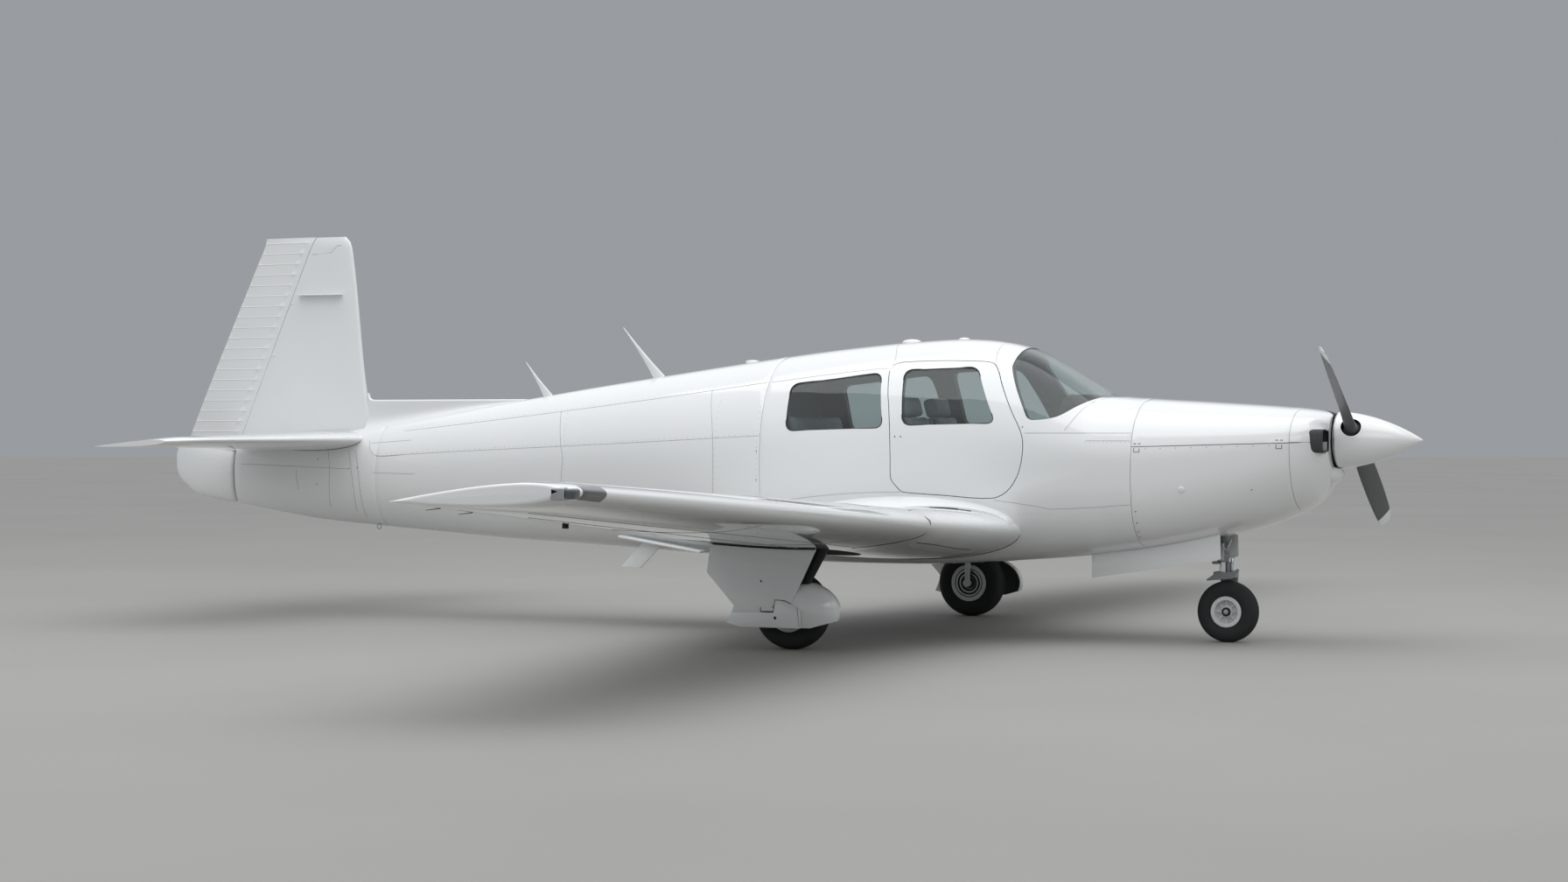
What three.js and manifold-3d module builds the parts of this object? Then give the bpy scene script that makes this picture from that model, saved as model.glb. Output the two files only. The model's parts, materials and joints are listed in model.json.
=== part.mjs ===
// A four-seat, low-wing light aircraft on its tricycle gear.
// Millimetres, +X forward, +Y to port, +Z up. Stations (x) are counted from the main axle, and the
// whole aircraft is shifted forward at the end so that x = 0 is the middle of its length.
import * as THREE from 'three'
import { mergeVertices } from 'three/addons/utils/BufferGeometryUtils.js'
import Module from 'manifold-3d'

const wasm = await Module()
wasm.setup()

// Driving dimensions
const MID_LENGTH = 1004        // from the main axle aft to the middle of the aircraft's length
const SEMI_SPAN = 5500
const TAIL_SEMI_SPAN = 1790
const SEAT_GAP = 0.3           // between pieces that touch
const RUN_GAP = 8              // between a moving piece and what it passes
const CABIN_WALL = 40
const SKIN_WALL = 20           // cowling
const TAIL_WALL = 10

const FIREWALL_X = 1640
const BOWL_SEAM_X = 2505
const BOWL_FRONT_X = 2680
const BACKPLATE_X = 2696
const CABIN_END_X = -620
const TAIL_SPLIT_X = -3480
const CONE_END_X = -4655

const PROP_X = 2785
const PROP_Z = 1145
const PROP_RADIUS = 965
const PROP_LEAN = THREE.MathUtils.degToRad(60)  // upper blade from the vertical, to starboard

const TRACK_Y = 1435
const MAIN_TYRE_R = 215
const MAIN_RIM_R = 108
const MAIN_TYRE_W = 150
const NOSE_WHEEL_X = 2063
const NOSE_TYRE_R = 174
const NOSE_RIM_R = 78
const NOSE_TYRE_W = 118
const TYRE_FACETS = 24
const STEER_X = 2036

// Fuselage sections: station, top, bottom, half width, height of the widest line, and the
// exponents of the rounded upper and lower halves (2 is an ellipse, more is squarer)
const FUSELAGE = [
  // x, top, bottom, half, waist, upper, lower
  [2690, 1276, 1004, 215, 1140, 2.2, 2.1],
  [2676, 1290, 948, 262, 1140, 2.3, 2.1],
  [2646, 1302, 872, 310, 1136, 2.3, 2.1],
  [2600, 1312, 806, 350, 1128, 2.3, 2.15],
  [2540, 1321, 762, 383, 1115, 2.3, 2.2],
  [2450, 1329, 717, 412, 1100, 2.35, 2.25],
  [2290, 1342, 655, 443, 1070, 2.4, 2.4],
  [2050, 1357, 594, 470, 1030, 2.45, 2.55],
  [1640, 1381, 520, 508, 975, 2.5, 2.8],
  [1480, 1393, 500, 520, 980, 2.5, 2.9],
  [1400, 1402, 490, 527, 985, 2.45, 3.0],
  [1290, 1468, 480, 535, 990, 2.35, 3.05],
  [1150, 1553, 466, 545, 995, 2.25, 3.1],
  [1020, 1626, 455, 553, 1000, 2.25, 3.15],
  [920, 1672, 447, 557, 1000, 2.25, 3.2],
  [780, 1708, 436, 560, 1000, 2.3, 3.2],
  [640, 1727, 427, 560, 1000, 2.35, 3.2],
  [500, 1734, 418, 560, 1000, 2.35, 3.2],
  [200, 1722, 407, 556, 1000, 2.35, 3.1],
  [-200, 1690, 404, 545, 995, 2.3, 3.0],
  [-620, 1644, 411, 520, 985, 2.25, 2.8],
  [-1000, 1596, 428, 485, 975, 2.15, 2.6],
  [-1500, 1529, 452, 430, 955, 2.1, 2.45],
  [-2000, 1460, 480, 370, 935, 2.05, 2.3],
  [-2500, 1385, 503, 308, 918, 2, 2.2],
  [-3000, 1311, 538, 248, 905, 2, 2.15],
  [-3480, 1238, 571, 190, 892, 2, 2.1],
  [-4000, 1176, 612, 132, 885, 2, 2],
  [-4400, 1138, 668, 92, 895, 2, 2],
  [-4660, 1116, 712, 64, 912, 2, 2],
]

// Wing sections from the root to the tip: distance from the centre line, leading and trailing
// edge stations, their heights, and thickness over chord
const WING = [
  // y, leX, teX, leZ, teZ, thick
  [300, 1030, -985, 622, 512, 0.135],
  [560, 980, -948, 640, 532, 0.145],
  [800, 925, -904, 656, 550, 0.146],
  [1100, 850, -850, 676, 573, 0.147],
  [1400, 808, -794, 695, 596, 0.146],
  [3400, 818, -428, 828, 750, 0.138],
  [5200, 826, -98, 945, 890, 0.13],
  [5400, 822, -62, 957, 905, 0.122],
  [SEMI_SPAN, 770, -45, 962, 912, 0.11],
]
const FLAP_HINGE = 0.84        // of the chord
const AILERON_HINGE = 0.77
const FLAP_Y = [705, 3340]
const AILERON_Y = [3430, 5160]

// Stabilizer sections, in the same columns
const STABILIZER = [
  [66, -3620, -4660, 1138, 1098, 0.12],
  [1500, -3762, -4497, 1138, 1098, 0.09],
  [1700, -3800, -4472, 1136, 1098, 0.085],
  [TAIL_SEMI_SPAN, -3930, -4459, 1130, 1098, 0.06],
]
const ELEVATOR_X = -4225
const ELEVATOR_Z = 1114
const ELEVATOR_Y = [120, 1700]

// Vertical tail sections: height, leading and trailing edge stations, thickness over chord
const FIN = [
  [1060, -3560, -5098, 0.085],
  [1400, -3655, -4943, 0.085],
  [2300, -3762, -4507, 0.085],
  [2410, -3782, -4453, 0.083],
  [2457, -3822, -4440, 0.06],
]
const RUDDER_TOP = [-4080, 2443]
const RUDDER_FOOT = [-4645, 1169]

const white = { color: 0xf0f0ee, roughness: 0.3, metalness: 0 }
const bare = { color: 0xb9bcbe, roughness: 0.35, metalness: 0.9 }
const dark = { color: 0x2e3032, roughness: 0.5, metalness: 0.2 }
const rubber = { color: 0x17181a, roughness: 0.85, metalness: 0 }
const tinted = { color: 0x6d7c84, roughness: 0.05, metalness: 0, transparent: true, opacity: 0.4 }
const cloth = { color: 0x8d9296, roughness: 0.9, metalness: 0 }

// Solids and booleans
function flipped(geometry) {
  const index = geometry.index.array
  for (let i = 0; i < index.length; i += 3) {
    const second = index[i + 1]
    index[i + 1] = index[i + 2]
    index[i + 2] = second
  }
  return geometry
}

function bareMesh(geometry) {
  const copy = geometry.clone()
  copy.deleteAttribute('normal')
  copy.deleteAttribute('uv')
  return mergeVertices(copy, 1e-3)
}

function solid(geometry) {
  const merged = bareMesh(geometry)
  return new wasm.Manifold(new wasm.Mesh({
    numProp: 3,
    vertProperties: new Float32Array(merged.attributes.position.array),
    triVerts: new Uint32Array(merged.index.array),
  }))
}

function geometryOf(body) {
  const mesh = body.getMesh()
  const geometry = new THREE.BufferGeometry()
  geometry.setAttribute('position', new THREE.BufferAttribute(new Float32Array(mesh.vertProperties), 3))
  geometry.setIndex(new THREE.BufferAttribute(new Uint32Array(mesh.triVerts), 1))
  return geometry
}

function joined(...bodies) {
  return bodies.reduce((all, body) => all.add(body))
}

function cut(body, ...tools) {
  return tools.reduce((left, tool) => left.subtract(tool), body)
}

function toPort(body) {
  const geometry = geometryOf(body)
  geometry.scale(1, -1, 1)
  return solid(flipped(geometry))
}

// Basic shapes, each a solid
function box(x0, x1, y0, y1, z0, z1) {
  const shape = new THREE.BoxGeometry(x1 - x0, y1 - y0, z1 - z0)
  shape.translate((x0 + x1) / 2, (y0 + y1) / 2, (z0 + z1) / 2)
  return solid(shape)
}

const FAR = 9000
function slab(x0, x1) {
  return box(x0, x1, -FAR, FAR, -FAR, FAR)
}

function extruded(points, depth) {
  const shape = new THREE.Shape(points.map(([a, b]) => new THREE.Vector2(a, b)))
  return new THREE.ExtrudeGeometry(shape, { depth, bevelEnabled: false })
}

// A side outline of [x, z] points carried across from y0 to y1
function sidePrism(points, y0, y1) {
  const shape = extruded(points, y1 - y0)
  shape.rotateX(Math.PI / 2)
  shape.translate(0, y1, 0)
  return solid(shape)
}

// A front outline of [y, z] points carried along from x0 to x1
function frontPrism(points, x0, x1) {
  const shape = extruded(points, x1 - x0)
  shape.rotateX(Math.PI / 2)
  shape.rotateZ(Math.PI / 2)
  shape.translate(x0, 0, 0)
  return solid(shape)
}

// A straight rod, or a cone where the two radii differ, from one point to another
function rod(from, to, r0, r1 = r0, sides = 16) {
  const start = new THREE.Vector3(...from)
  const along = new THREE.Vector3(...to).sub(start)
  const shape = new THREE.CylinderGeometry(r1, r0, along.length(), sides)
  shape.translate(0, along.length() / 2, 0)
  const turn = new THREE.Quaternion().setFromUnitVectors(new THREE.Vector3(0, 1, 0), along.clone().normalize())
  shape.applyQuaternion(turn)
  shape.translate(start.x, start.y, start.z)
  return solid(shape)
}

// A body turned about a line along Y through (x, z), from a closed [radius, y] profile
function turned(profile, x, z, facets) {
  const points = profile.map(([r, y]) => new THREE.Vector2(r, y))
  const shape = new THREE.LatheGeometry(points, facets, Math.PI / facets)
  shape.translate(x, 0, z)
  return solid(outward(bareMesh(shape)))
}

function outward(geometry) {
  const p = geometry.attributes.position
  const index = geometry.index.array
  const [a, b, c] = [new THREE.Vector3(), new THREE.Vector3(), new THREE.Vector3()]
  let volume = 0
  for (let i = 0; i < index.length; i += 3) {
    a.fromBufferAttribute(p, index[i])
    b.fromBufferAttribute(p, index[i + 1])
    c.fromBufferAttribute(p, index[i + 2])
    volume += a.dot(b.cross(c))
  }
  return volume < 0 ? flipped(geometry) : geometry
}

// A closed cylinder whose rings are pulled to sections: place(section, angle) gives a point
function loft(sections, around, place) {
  const shape = new THREE.CylinderGeometry(1, 1, 1, around, sections.length - 1)
  const p = shape.attributes.position
  const centres = sections.map((section) => {
    const middle = new THREE.Vector3()
    for (let j = 0; j < around; j += 1) {
      middle.add(place(section, (2 * Math.PI * j) / around))
    }
    return middle.divideScalar(around)
  })
  for (let i = 0; i < p.count; i += 1) {
    const ring = Math.round((p.getY(i) + 0.5) * (sections.length - 1))
    const onAxis = Math.hypot(p.getX(i), p.getZ(i)) < 0.5
    const angle = Math.atan2(p.getX(i), p.getZ(i))
    const point = onAxis ? centres[ring] : place(sections[ring], angle)
    p.setXYZ(i, point.x, point.y, point.z)
  }
  return solid(outward(bareMesh(shape)))
}

// Fuselage
const signedPower = (value, power) => Math.sign(value) * Math.abs(value) ** power

function fuselagePoint([x, top, bottom, half, waist, upper, lower], angle, inset) {
  const across = Math.sin(angle)
  const rise = Math.cos(angle)
  const exponent = 2 / (rise > 0 ? upper : lower)
  const reach = (rise > 0 ? top - waist : waist - bottom) - inset
  return new THREE.Vector3(
    x,
    (half - inset) * signedPower(across, exponent),
    waist + reach * signedPower(rise, exponent),
  )
}

const AROUND = 28
function fuselage(x0, x1, inset) {
  const body = loft(FUSELAGE, AROUND, (section, angle) => fuselagePoint(section, angle, inset))
  return body.intersect(slab(x0, x1))
}

const wholeFuselage = fuselage(CONE_END_X, FUSELAGE[0][0], -SEAT_GAP)

// Nose
const inletRim = [190, 310, 1082, 1198]   // y from, y to, z from, z to of a cooling inlet
function inlet(side) {
  const [y0, y1, z0, z1] = inletRim
  const shape = new THREE.Shape()
  shape.moveTo(y0, z0)
  shape.lineTo((y0 + y1) / 2, z0)
  shape.absellipse((y0 + y1) / 2, (z0 + z1) / 2, (y1 - y0) / 2, (z1 - z0) / 2, -Math.PI / 2, Math.PI / 2)
  shape.lineTo(y0, z1)
  const points = shape.getPoints(8).map((point) => [side * point.x, point.y])
  return frontPrism(side > 0 ? points : points.reverse(), BOWL_SEAM_X - 40, BOWL_FRONT_X + 60)
}

const BOWL_FACE = 18
const CRANK_HOLE_R = 62
const CRANK_R = 45
const crankHole = rod([2500, 0, PROP_Z], [2720, 0, PROP_Z], CRANK_HOLE_R, CRANK_HOLE_R, 16)
const noseBowl = cut(
  fuselage(BOWL_SEAM_X + SEAT_GAP, BOWL_FRONT_X, 0),
  fuselage(BOWL_SEAM_X - 10, BOWL_FRONT_X - BOWL_FACE, SKIN_WALL),
  crankHole,
  inlet(-1),
  inlet(1),
)

const cowl = cut(
  fuselage(FIREWALL_X + SEAT_GAP, BOWL_SEAM_X, 0),
  fuselage(FIREWALL_X - 10, BOWL_SEAM_X + 10, SKIN_WALL),
)
const COWL_SPLIT = [1107, 1131]   // height of the split at the firewall and at the bowl
const belowSplit = sidePrism([
  [FIREWALL_X - 20, 0],
  [BOWL_SEAM_X + 20, 0],
  [BOWL_SEAM_X + 20, COWL_SPLIT[1]],
  [FIREWALL_X - 20, COWL_SPLIT[0]],
], -900, 900)
const aboveSplit = sidePrism([
  [FIREWALL_X - 20, COWL_SPLIT[0] + SEAT_GAP],
  [BOWL_SEAM_X + 20, COWL_SPLIT[1] + SEAT_GAP],
  [BOWL_SEAM_X + 20, 2000],
  [FIREWALL_X - 20, 2000],
], -900, 900)

const FIREWALL_THICK = 20
const cabinStart = FIREWALL_X - FIREWALL_THICK - SEAT_GAP
const firewall = fuselage(FIREWALL_X - FIREWALL_THICK, FIREWALL_X, 0)

const ENGINE = { x: [1700, 2440], half: 300, z: [870, 1225] }
const engineBlock = joined(
  box(ENGINE.x[0], ENGINE.x[1], -ENGINE.half, ENGINE.half, ENGINE.z[0], ENGINE.z[1]),
  rod([ENGINE.x[1] - 20, 0, PROP_Z], [BACKPLATE_X - SEAT_GAP, 0, PROP_Z], CRANK_R, CRANK_R, 16),
  ...[-1, 1].flatMap((side) => [
    rod([ENGINE.x[0] + 30, side * 250, 990], [FIREWALL_X + SEAT_GAP, side * 250, 990], 20, 20, 8),
    rod([ENGINE.x[0] + 30, side * 250, 1150], [FIREWALL_X + SEAT_GAP, side * 250, 1150], 20, 20, 8),
  ]),
)

// Propeller and spinner
const SPINNER_R = 158
const SPINNER_TIP_X = 3157
const SPINNER_WALL = 8
const BACKPLATE_THICK = 4
const SPINNER_BASE_X = BACKPLATE_X + BACKPLATE_THICK + SEAT_GAP
const SHANK_R = 42
const SHANK_HOLE_R = 62

function spinnerRadius(x, inset) {
  const along = Math.min(1, Math.max(0, (x - SPINNER_BASE_X) / (SPINNER_TIP_X - inset * 2 - SPINNER_BASE_X)))
  return (SPINNER_R - inset) * (1 - along ** 1.75) ** 0.92
}

function spinnerBody(from, inset) {
  const tip = SPINNER_TIP_X - inset * 2
  const stations = Array.from({ length: 7 }, (_, i) => from + (tip - from) * Math.sin((Math.PI / 2) * (i / 6)))
  const profile = [[0, from], ...stations.map((x) => [spinnerRadius(x, inset), x])]
  profile[profile.length - 1][0] = 0
  const shape = new THREE.LatheGeometry(profile.map(([r, x]) => new THREE.Vector2(r, x)), 16)
  shape.rotateZ(-Math.PI / 2)
  shape.translate(0, 0, PROP_Z)
  return solid(outward(bareMesh(shape)))
}

const bladeAxis = new THREE.Vector3(0, -Math.sin(PROP_LEAN), Math.cos(PROP_LEAN))
const hubCentre = [PROP_X, 0, PROP_Z]
function outAlongBlade(distance) {
  return [PROP_X, bladeAxis.y * distance, PROP_Z + bladeAxis.z * distance]
}

// Blade sections: distance from the axis, chord, thickness, pitch in degrees
const BLADE = [
  [120, 84, 70, 62],
  [190, 92, 46, 57],
  [280, 104, 32, 52],
  [420, 112, 23, 48],
  [580, 114, 17, 45],
  [740, 110, 13, 42.5],
  [870, 100, 10, 40],
  [935, 84, 8, 39],
  [PROP_RADIUS, 46, 5, 38.5],
]

function bladePoint([distance, chord, thick, pitch], angle) {
  const turn = THREE.MathUtils.degToRad(pitch)
  const along = (chord / 2) * Math.sin(angle)
  const across = (thick / 2) * Math.cos(angle)
  return new THREE.Vector3(
    -along * Math.sin(turn) + across * Math.cos(turn),
    along * Math.cos(turn) + across * Math.sin(turn),
    distance,
  )
}

function blade(upper) {
  const body = loft(BLADE, 8, bladePoint)
  const shape = geometryOf(body)
  shape.rotateX(PROP_LEAN + (upper ? 0 : Math.PI))
  shape.translate(...hubCentre)
  return solid(shape)
}

const propeller = joined(
  rod([BACKPLATE_X, 0, PROP_Z], [BACKPLATE_X + BACKPLATE_THICK, 0, PROP_Z], SPINNER_R - 2, SPINNER_R - 2, 16),
  rod([BACKPLATE_X + 2, 0, PROP_Z], [PROP_X + 60, 0, PROP_Z], 70, 62, 16),
  rod(outAlongBlade(-150), outAlongBlade(150), SHANK_R, SHANK_R, 16),
  blade(true),
  blade(false),
)
const spinner = cut(
  spinnerBody(SPINNER_BASE_X, 0),
  spinnerBody(SPINNER_BASE_X - 2, SPINNER_WALL),
  rod(outAlongBlade(-260), outAlongBlade(260), SHANK_HOLE_R, SHANK_HOLE_R, 16),
)

// Cabin
// Door outline from the rear foot, forward along the sill and back over the roof edge: station,
// height, half width of the skin there, and how the edge leans per millimetre inboard
const DOOR = [
  // x, z, skin, dx, dz
  [222, 945, 554, 0.16, 0],
  [229, 921, 554, 0.14, 0],
  [290, 851, 554, 0.05, 0],
  [312, 844, 554, 0.02, 0],
  [540, 830, 556, 0, 0],
  [840, 816, 552, 0, 0],
  [930, 855, 552, 0, 0],
  [995, 950, 553, 0, 0],
  [1022, 1080, 550, 0, 0],
  [1010, 1180, 542, 0, 0],
  [940, 1310, 512, 0, 0],
  [862, 1462, 436, 0, 0],
  [822, 1540, 380, 0, -0.2],
  [780, 1578, 344, 0, -0.3],
  [680, 1588, 344, 0, -0.3],
  [240, 1588, 350, 0.1, -0.3],
  [180, 1570, 360, 0.2, -0.3],
  [160, 1520, 405, 0.2, 0],
]
const DOOR_GAP = 8

// A ring of [x, z] points moved outwards by a distance
function grown(points, distance) {
  const count = points.length
  return points.map(([x, z], i) => {
    const [px, pz] = points[(i + count - 1) % count]
    const [nx, nz] = points[(i + 1) % count]
    const length = Math.hypot(nx - px, nz - pz)
    return [x + (distance * (nz - pz)) / length, z - (distance * (nx - px)) / length]
  })
}

function doorPrism(growth) {
  const ends = [-760, -180]
  const rings = ends.map((y) => DOOR.map(([x, z, skin, dx, dz]) => [x + dx * (y + skin), z + dz * (y + skin)]))
  const sections = rings.map((ring, i) => ({ y: ends[i], ring: grown(ring, growth) }))
  return loft(sections, DOOR.length, ({ y, ring }, angle) => {
    const slot = Math.round((angle / (2 * Math.PI)) * ring.length + ring.length) % ring.length
    return new THREE.Vector3(ring[slot][0], y, ring[slot][1])
  })
}

// Window outlines as [x, z] corners; each corner is rounded
const DOOR_GLASS = [[292, 1226], [845, 1238], [700, 1560], [258, 1546]]
const REAR_GLASS = [[-452, 1193], [172, 1212], [118, 1533], [-460, 1470]]
function roundedOutline(corners, radius) {
  const count = corners.length
  const shape = new THREE.Path()
  corners.forEach(([x, z], i) => {
    const [px, pz] = corners[(i + count - 1) % count]
    const [nx, nz] = corners[(i + 1) % count]
    const before = Math.hypot(px - x, pz - z)
    const after = Math.hypot(nx - x, nz - z)
    const start = [x + ((px - x) * radius) / before, z + ((pz - z) * radius) / before]
    const end = [x + ((nx - x) * radius) / after, z + ((nz - z) * radius) / after]
    if (i === 0) {
      shape.moveTo(...start)
    } else {
      shape.lineTo(...start)
    }
    shape.quadraticCurveTo(x, z, ...end)
  })
  return shape.getPoints(4).map((point) => [point.x, point.y])
}

const GLASS_RADIUS = 55
const GLASS_THICK = 6
const GLASS_DEPTH = 6          // of the outer face of the glass under the skin
const glassSkin = cut(
  fuselage(CABIN_END_X, FIREWALL_X, GLASS_DEPTH),
  fuselage(CABIN_END_X - 10, FIREWALL_X + 10, GLASS_DEPTH + GLASS_THICK),
)

function window(corners, side, growth) {
  const outline = grown(roundedOutline(corners, GLASS_RADIUS), growth)
  return side < 0 ? sidePrism(outline, -760, -180) : sidePrism(outline, 180, 760)
}

function pane(corners, side) {
  return glassSkin.intersect(window(corners, side, -SEAT_GAP))
}

// Windshield outline from the roof down the pillar and forward along its foot, seen from the side
const WINDSHIELD = [
  [905, 1740],
  [893, 1600],
  [897, 1553],
  [1020, 1300],
  [1040, 1270],
  [1075, 1256],
  [1204, 1276],
  [1313, 1343],
  [1385, 1384],
  [1500, 1404],
  [1500, 1740],
]
const windshieldCut = sidePrism(WINDSHIELD, -700, 700)
const windshield = glassSkin.intersect(sidePrism(grown(WINDSHIELD, -SEAT_GAP), -700, 700))

const cabinWall = cut(
  fuselage(CABIN_END_X, cabinStart, 0),
  fuselage(CABIN_END_X - 10, FIREWALL_X, CABIN_WALL),
)
// The door hangs on a lug that reaches to the hinge line, in a slot of the cabin's front frame
const DOOR_HINGE = { x: 1036, y: -541.2, z: 1090, lean: 0.1298 }    // lean inboard, in radians
const DOOR_LUG = { root: 30, tip: 5, halfWidth: 5, halfHeight: 25, slotR: 16 }
const doorLug = solid(
  new THREE.BoxGeometry(DOOR_LUG.root + DOOR_LUG.tip, DOOR_LUG.halfWidth * 2, DOOR_LUG.halfHeight * 2)
    .translate((DOOR_LUG.tip - DOOR_LUG.root) / 2, 0, 0)
    .rotateX(-DOOR_HINGE.lean)
    .translate(DOOR_HINGE.x, DOOR_HINGE.y, DOOR_HINGE.z),
)
function alongDoorHinge(distance) {
  return [
    DOOR_HINGE.x,
    DOOR_HINGE.y + Math.sin(DOOR_HINGE.lean) * distance,
    DOOR_HINGE.z + Math.cos(DOOR_HINGE.lean) * distance,
  ]
}
const doorSlot = rod(
  alongDoorHinge(-DOOR_LUG.halfHeight - SEAT_GAP),
  alongDoorHinge(DOOR_LUG.halfHeight + SEAT_GAP),
  DOOR_LUG.slotR,
  DOOR_LUG.slotR,
  16,
)
const cabinShell = cut(
  cabinWall,
  windshieldCut,
  doorPrism(DOOR_GAP),
  doorSlot,
  window(REAR_GLASS, -1, 0),
  window(REAR_GLASS, 1, 0),
  window(DOOR_GLASS, 1, 0),
)
const cabinDoor = joined(cut(cabinWall.intersect(doorPrism(0)), window(DOOR_GLASS, -1, 0)), doorLug)

// The space inside the walls, a little short of them
function interior(x0, x1) {
  return fuselage(x0, x1, CABIN_WALL + SEAT_GAP)
}

const FLOOR_Z = [590, 620]
const cabinFloor = interior(CABIN_END_X + 30, cabinStart - 20).intersect(
  box(-FAR, FAR, -FAR, FAR, FLOOR_Z[0], FLOOR_Z[1]),
)

const PANEL = [[1250, 1000], [1500, 1000], [1500, 1360], [1190, 1322], [1190, 1300], [1262, 1296]]
const YOKE_Y = 255
const yokes = [-1, 1].flatMap((side) => [
  rod([1270, side * YOKE_Y, 1130], [1085, side * YOKE_Y, 1130], 12, 12, 6),
  rod([1090, side * YOKE_Y - 130, 1130], [1090, side * YOKE_Y + 130, 1130], 12, 12, 6),
  rod([1090, side * YOKE_Y - 122, 1120], [1075, side * YOKE_Y - 130, 1205], 13, 11, 6),
  rod([1090, side * YOKE_Y + 122, 1120], [1075, side * YOKE_Y + 130, 1205], 13, 11, 6),
])
const instrumentPanel = joined(
  interior(1100, 1500).intersect(sidePrism(PANEL, -600, 600)),
  ...yokes,
)

// A front seat: side outline of the cushion, back and head rest
const SEAT = [
  [860, 640], [850, 900], [820, 925], [470, 880], [330, 1390], [262, 1400],
  [240, 1370], [360, 840], [390, 640],
]
const SEAT_HALF_WIDTH = 205
const SEAT_Y = 235
function frontSeat(side) {
  const rails = [-150, 150].map((offset) => (
    box(420, 820, side * SEAT_Y + offset - 12, side * SEAT_Y + offset + 12, FLOOR_Z[1] + SEAT_GAP, 650)
  ))
  return joined(
    sidePrism(SEAT.slice().reverse(), side * SEAT_Y - SEAT_HALF_WIDTH, side * SEAT_Y + SEAT_HALF_WIDTH),
    ...rails,
  )
}

const REAR_SEAT = [
  [110, FLOOR_Z[1] + SEAT_GAP], [110, 880], [80, 905], [-250, 860], [-410, 1330], [-470, 1340],
  [-490, 1310], [-390, 800], [-380, FLOOR_Z[1] + SEAT_GAP],
]
const REAR_SEAT_HALF = 395
const rearSeat = sidePrism(REAR_SEAT.slice().reverse(), -REAR_SEAT_HALF, REAR_SEAT_HALF)

// Tail cone with its dorsal fin, whip antennas and puck
const BULKHEAD = 20
const tailShell = cut(
  fuselage(TAIL_SPLIT_X + SEAT_GAP, CABIN_END_X - SEAT_GAP, 0),
  fuselage(TAIL_SPLIT_X - 10, CABIN_END_X - BULKHEAD, TAIL_WALL),
)
const DORSAL = { front: -2480, top: 1392, half: 14 }
const FIN_BASE_X = -3600
function dorsal(x0, x1) {
  return sidePrism([[x0, 1150], [x1, 1150], [x1, DORSAL.top], [x0, DORSAL.top]], -DORSAL.half, DORSAL.half)
}

function whip(base, tip, rootChord, tipChord, half) {
  const sections = [
    { x: base[0] + 8, z: base[1] - 30, chord: rootChord, half },
    { x: tip[0], z: tip[1], chord: tipChord, half: half / 2 },
  ]
  return loft(sections, 8, ({ x, z, chord, half: thick }, angle) => new THREE.Vector3(
    x + (chord / 2) * Math.sin(angle),
    thick * Math.cos(angle),
    z,
  ))
}

const tailCone = joined(
  tailShell,
  cut(dorsal(TAIL_SPLIT_X + SEAT_GAP, DORSAL.front), fuselage(-4000, -2000, TAIL_WALL / 2)),
  whip([-1520, 1526], [-1786, 1836], 105, 14, 9),
  whip([-2305, 1414], [-2480, 1628], 90, 12, 8),
  rod([-900, 0, 1600], [-900, 0, 1624], 42, 30, 16),
)

// Lifting surfaces
function halfThickness(along) {
  const x = Math.min(1, Math.max(0, along))
  return 5 * (0.2969 * Math.sqrt(x) - 0.126 * x - 0.3516 * x ** 2 + 0.2843 * x ** 3 - 0.1036 * x ** 4)
}

function wingPoint([y, leX, teX, leZ, teZ, thick], angle) {
  const along = (1 - Math.cos(angle)) / 2
  const rise = Math.sign(Math.sin(angle)) * halfThickness(along) * thick * (leX - teX)
  return new THREE.Vector3(leX + (teX - leX) * along, -y, leZ + (teZ - leZ) * along + rise)
}

function finPoint([z, leX, teX, thick], angle) {
  const along = (1 - Math.cos(angle)) / 2
  const side = Math.sign(Math.sin(angle)) * halfThickness(along) * thick * (leX - teX)
  return new THREE.Vector3(leX + (teX - leX) * along, side, z)
}

// A value between the rows of a section table, by its first column
function between(table, at, column) {
  const next = Math.max(1, table.findIndex((row) => row[0] >= at))
  const [low, high] = [table[next - 1], table[next]]
  const part = (at - low[0]) / (high[0] - low[0])
  return low[column] + (high[column] - low[column]) * part
}

// A hinge line across the wing, with the radius of the rounded nose at each end
const NOSE_ROUND = 1.2
function wingHinge([y0, y1], part) {
  return [y0, y1].map((y) => {
    const [leX, teX, leZ, teZ, thick] = [1, 2, 3, 4, 5].map((column) => between(WING, y, column))
    return {
      point: [leX + (teX - leX) * part, -y, leZ + (teZ - leZ) * part],
      radius: NOSE_ROUND * halfThickness(part) * thick * (leX - teX),
    }
  })
}

// What a hinged surface takes out of its panel: all that lies aft of the hinge line between its
// ends, and a cone about that line; the ends are square to the line, so they turn in their own plane
function hingedRegion([start, end], growth, aft, openEnd = 0) {
  const from = new THREE.Vector3(...start.point)
  const to = new THREE.Vector3(...end.point)
  const axis = to.clone().sub(from).normalize()
  const length = from.distanceTo(to)
  const back = new THREE.Vector3(-1, 0, 0)
  back.addScaledVector(axis, -back.dot(axis)).normalize()
  const normal = new THREE.Vector3().crossVectors(axis, back)
  const place = new THREE.Matrix4().makeBasis(back, axis, normal).setPosition(from)
  if (place.determinant() < 0) {
    place.makeBasis(back, axis, normal.negate()).setPosition(from)
  }
  const span = length + growth * 2 + openEnd
  const block = new THREE.BoxGeometry(aft, span, 1200)
  block.translate(aft / 2, span / 2 - growth, 0)
  const nose = new THREE.CylinderGeometry(end.radius + growth, start.radius + growth, span, 12)
  nose.translate(0, span / 2 - growth, 0)
  const turnedIn = [block, nose].map((shape) => solid(outward(bareMesh(shape.applyMatrix4(place)))))
  return joined(...turnedIn)
}

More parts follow.
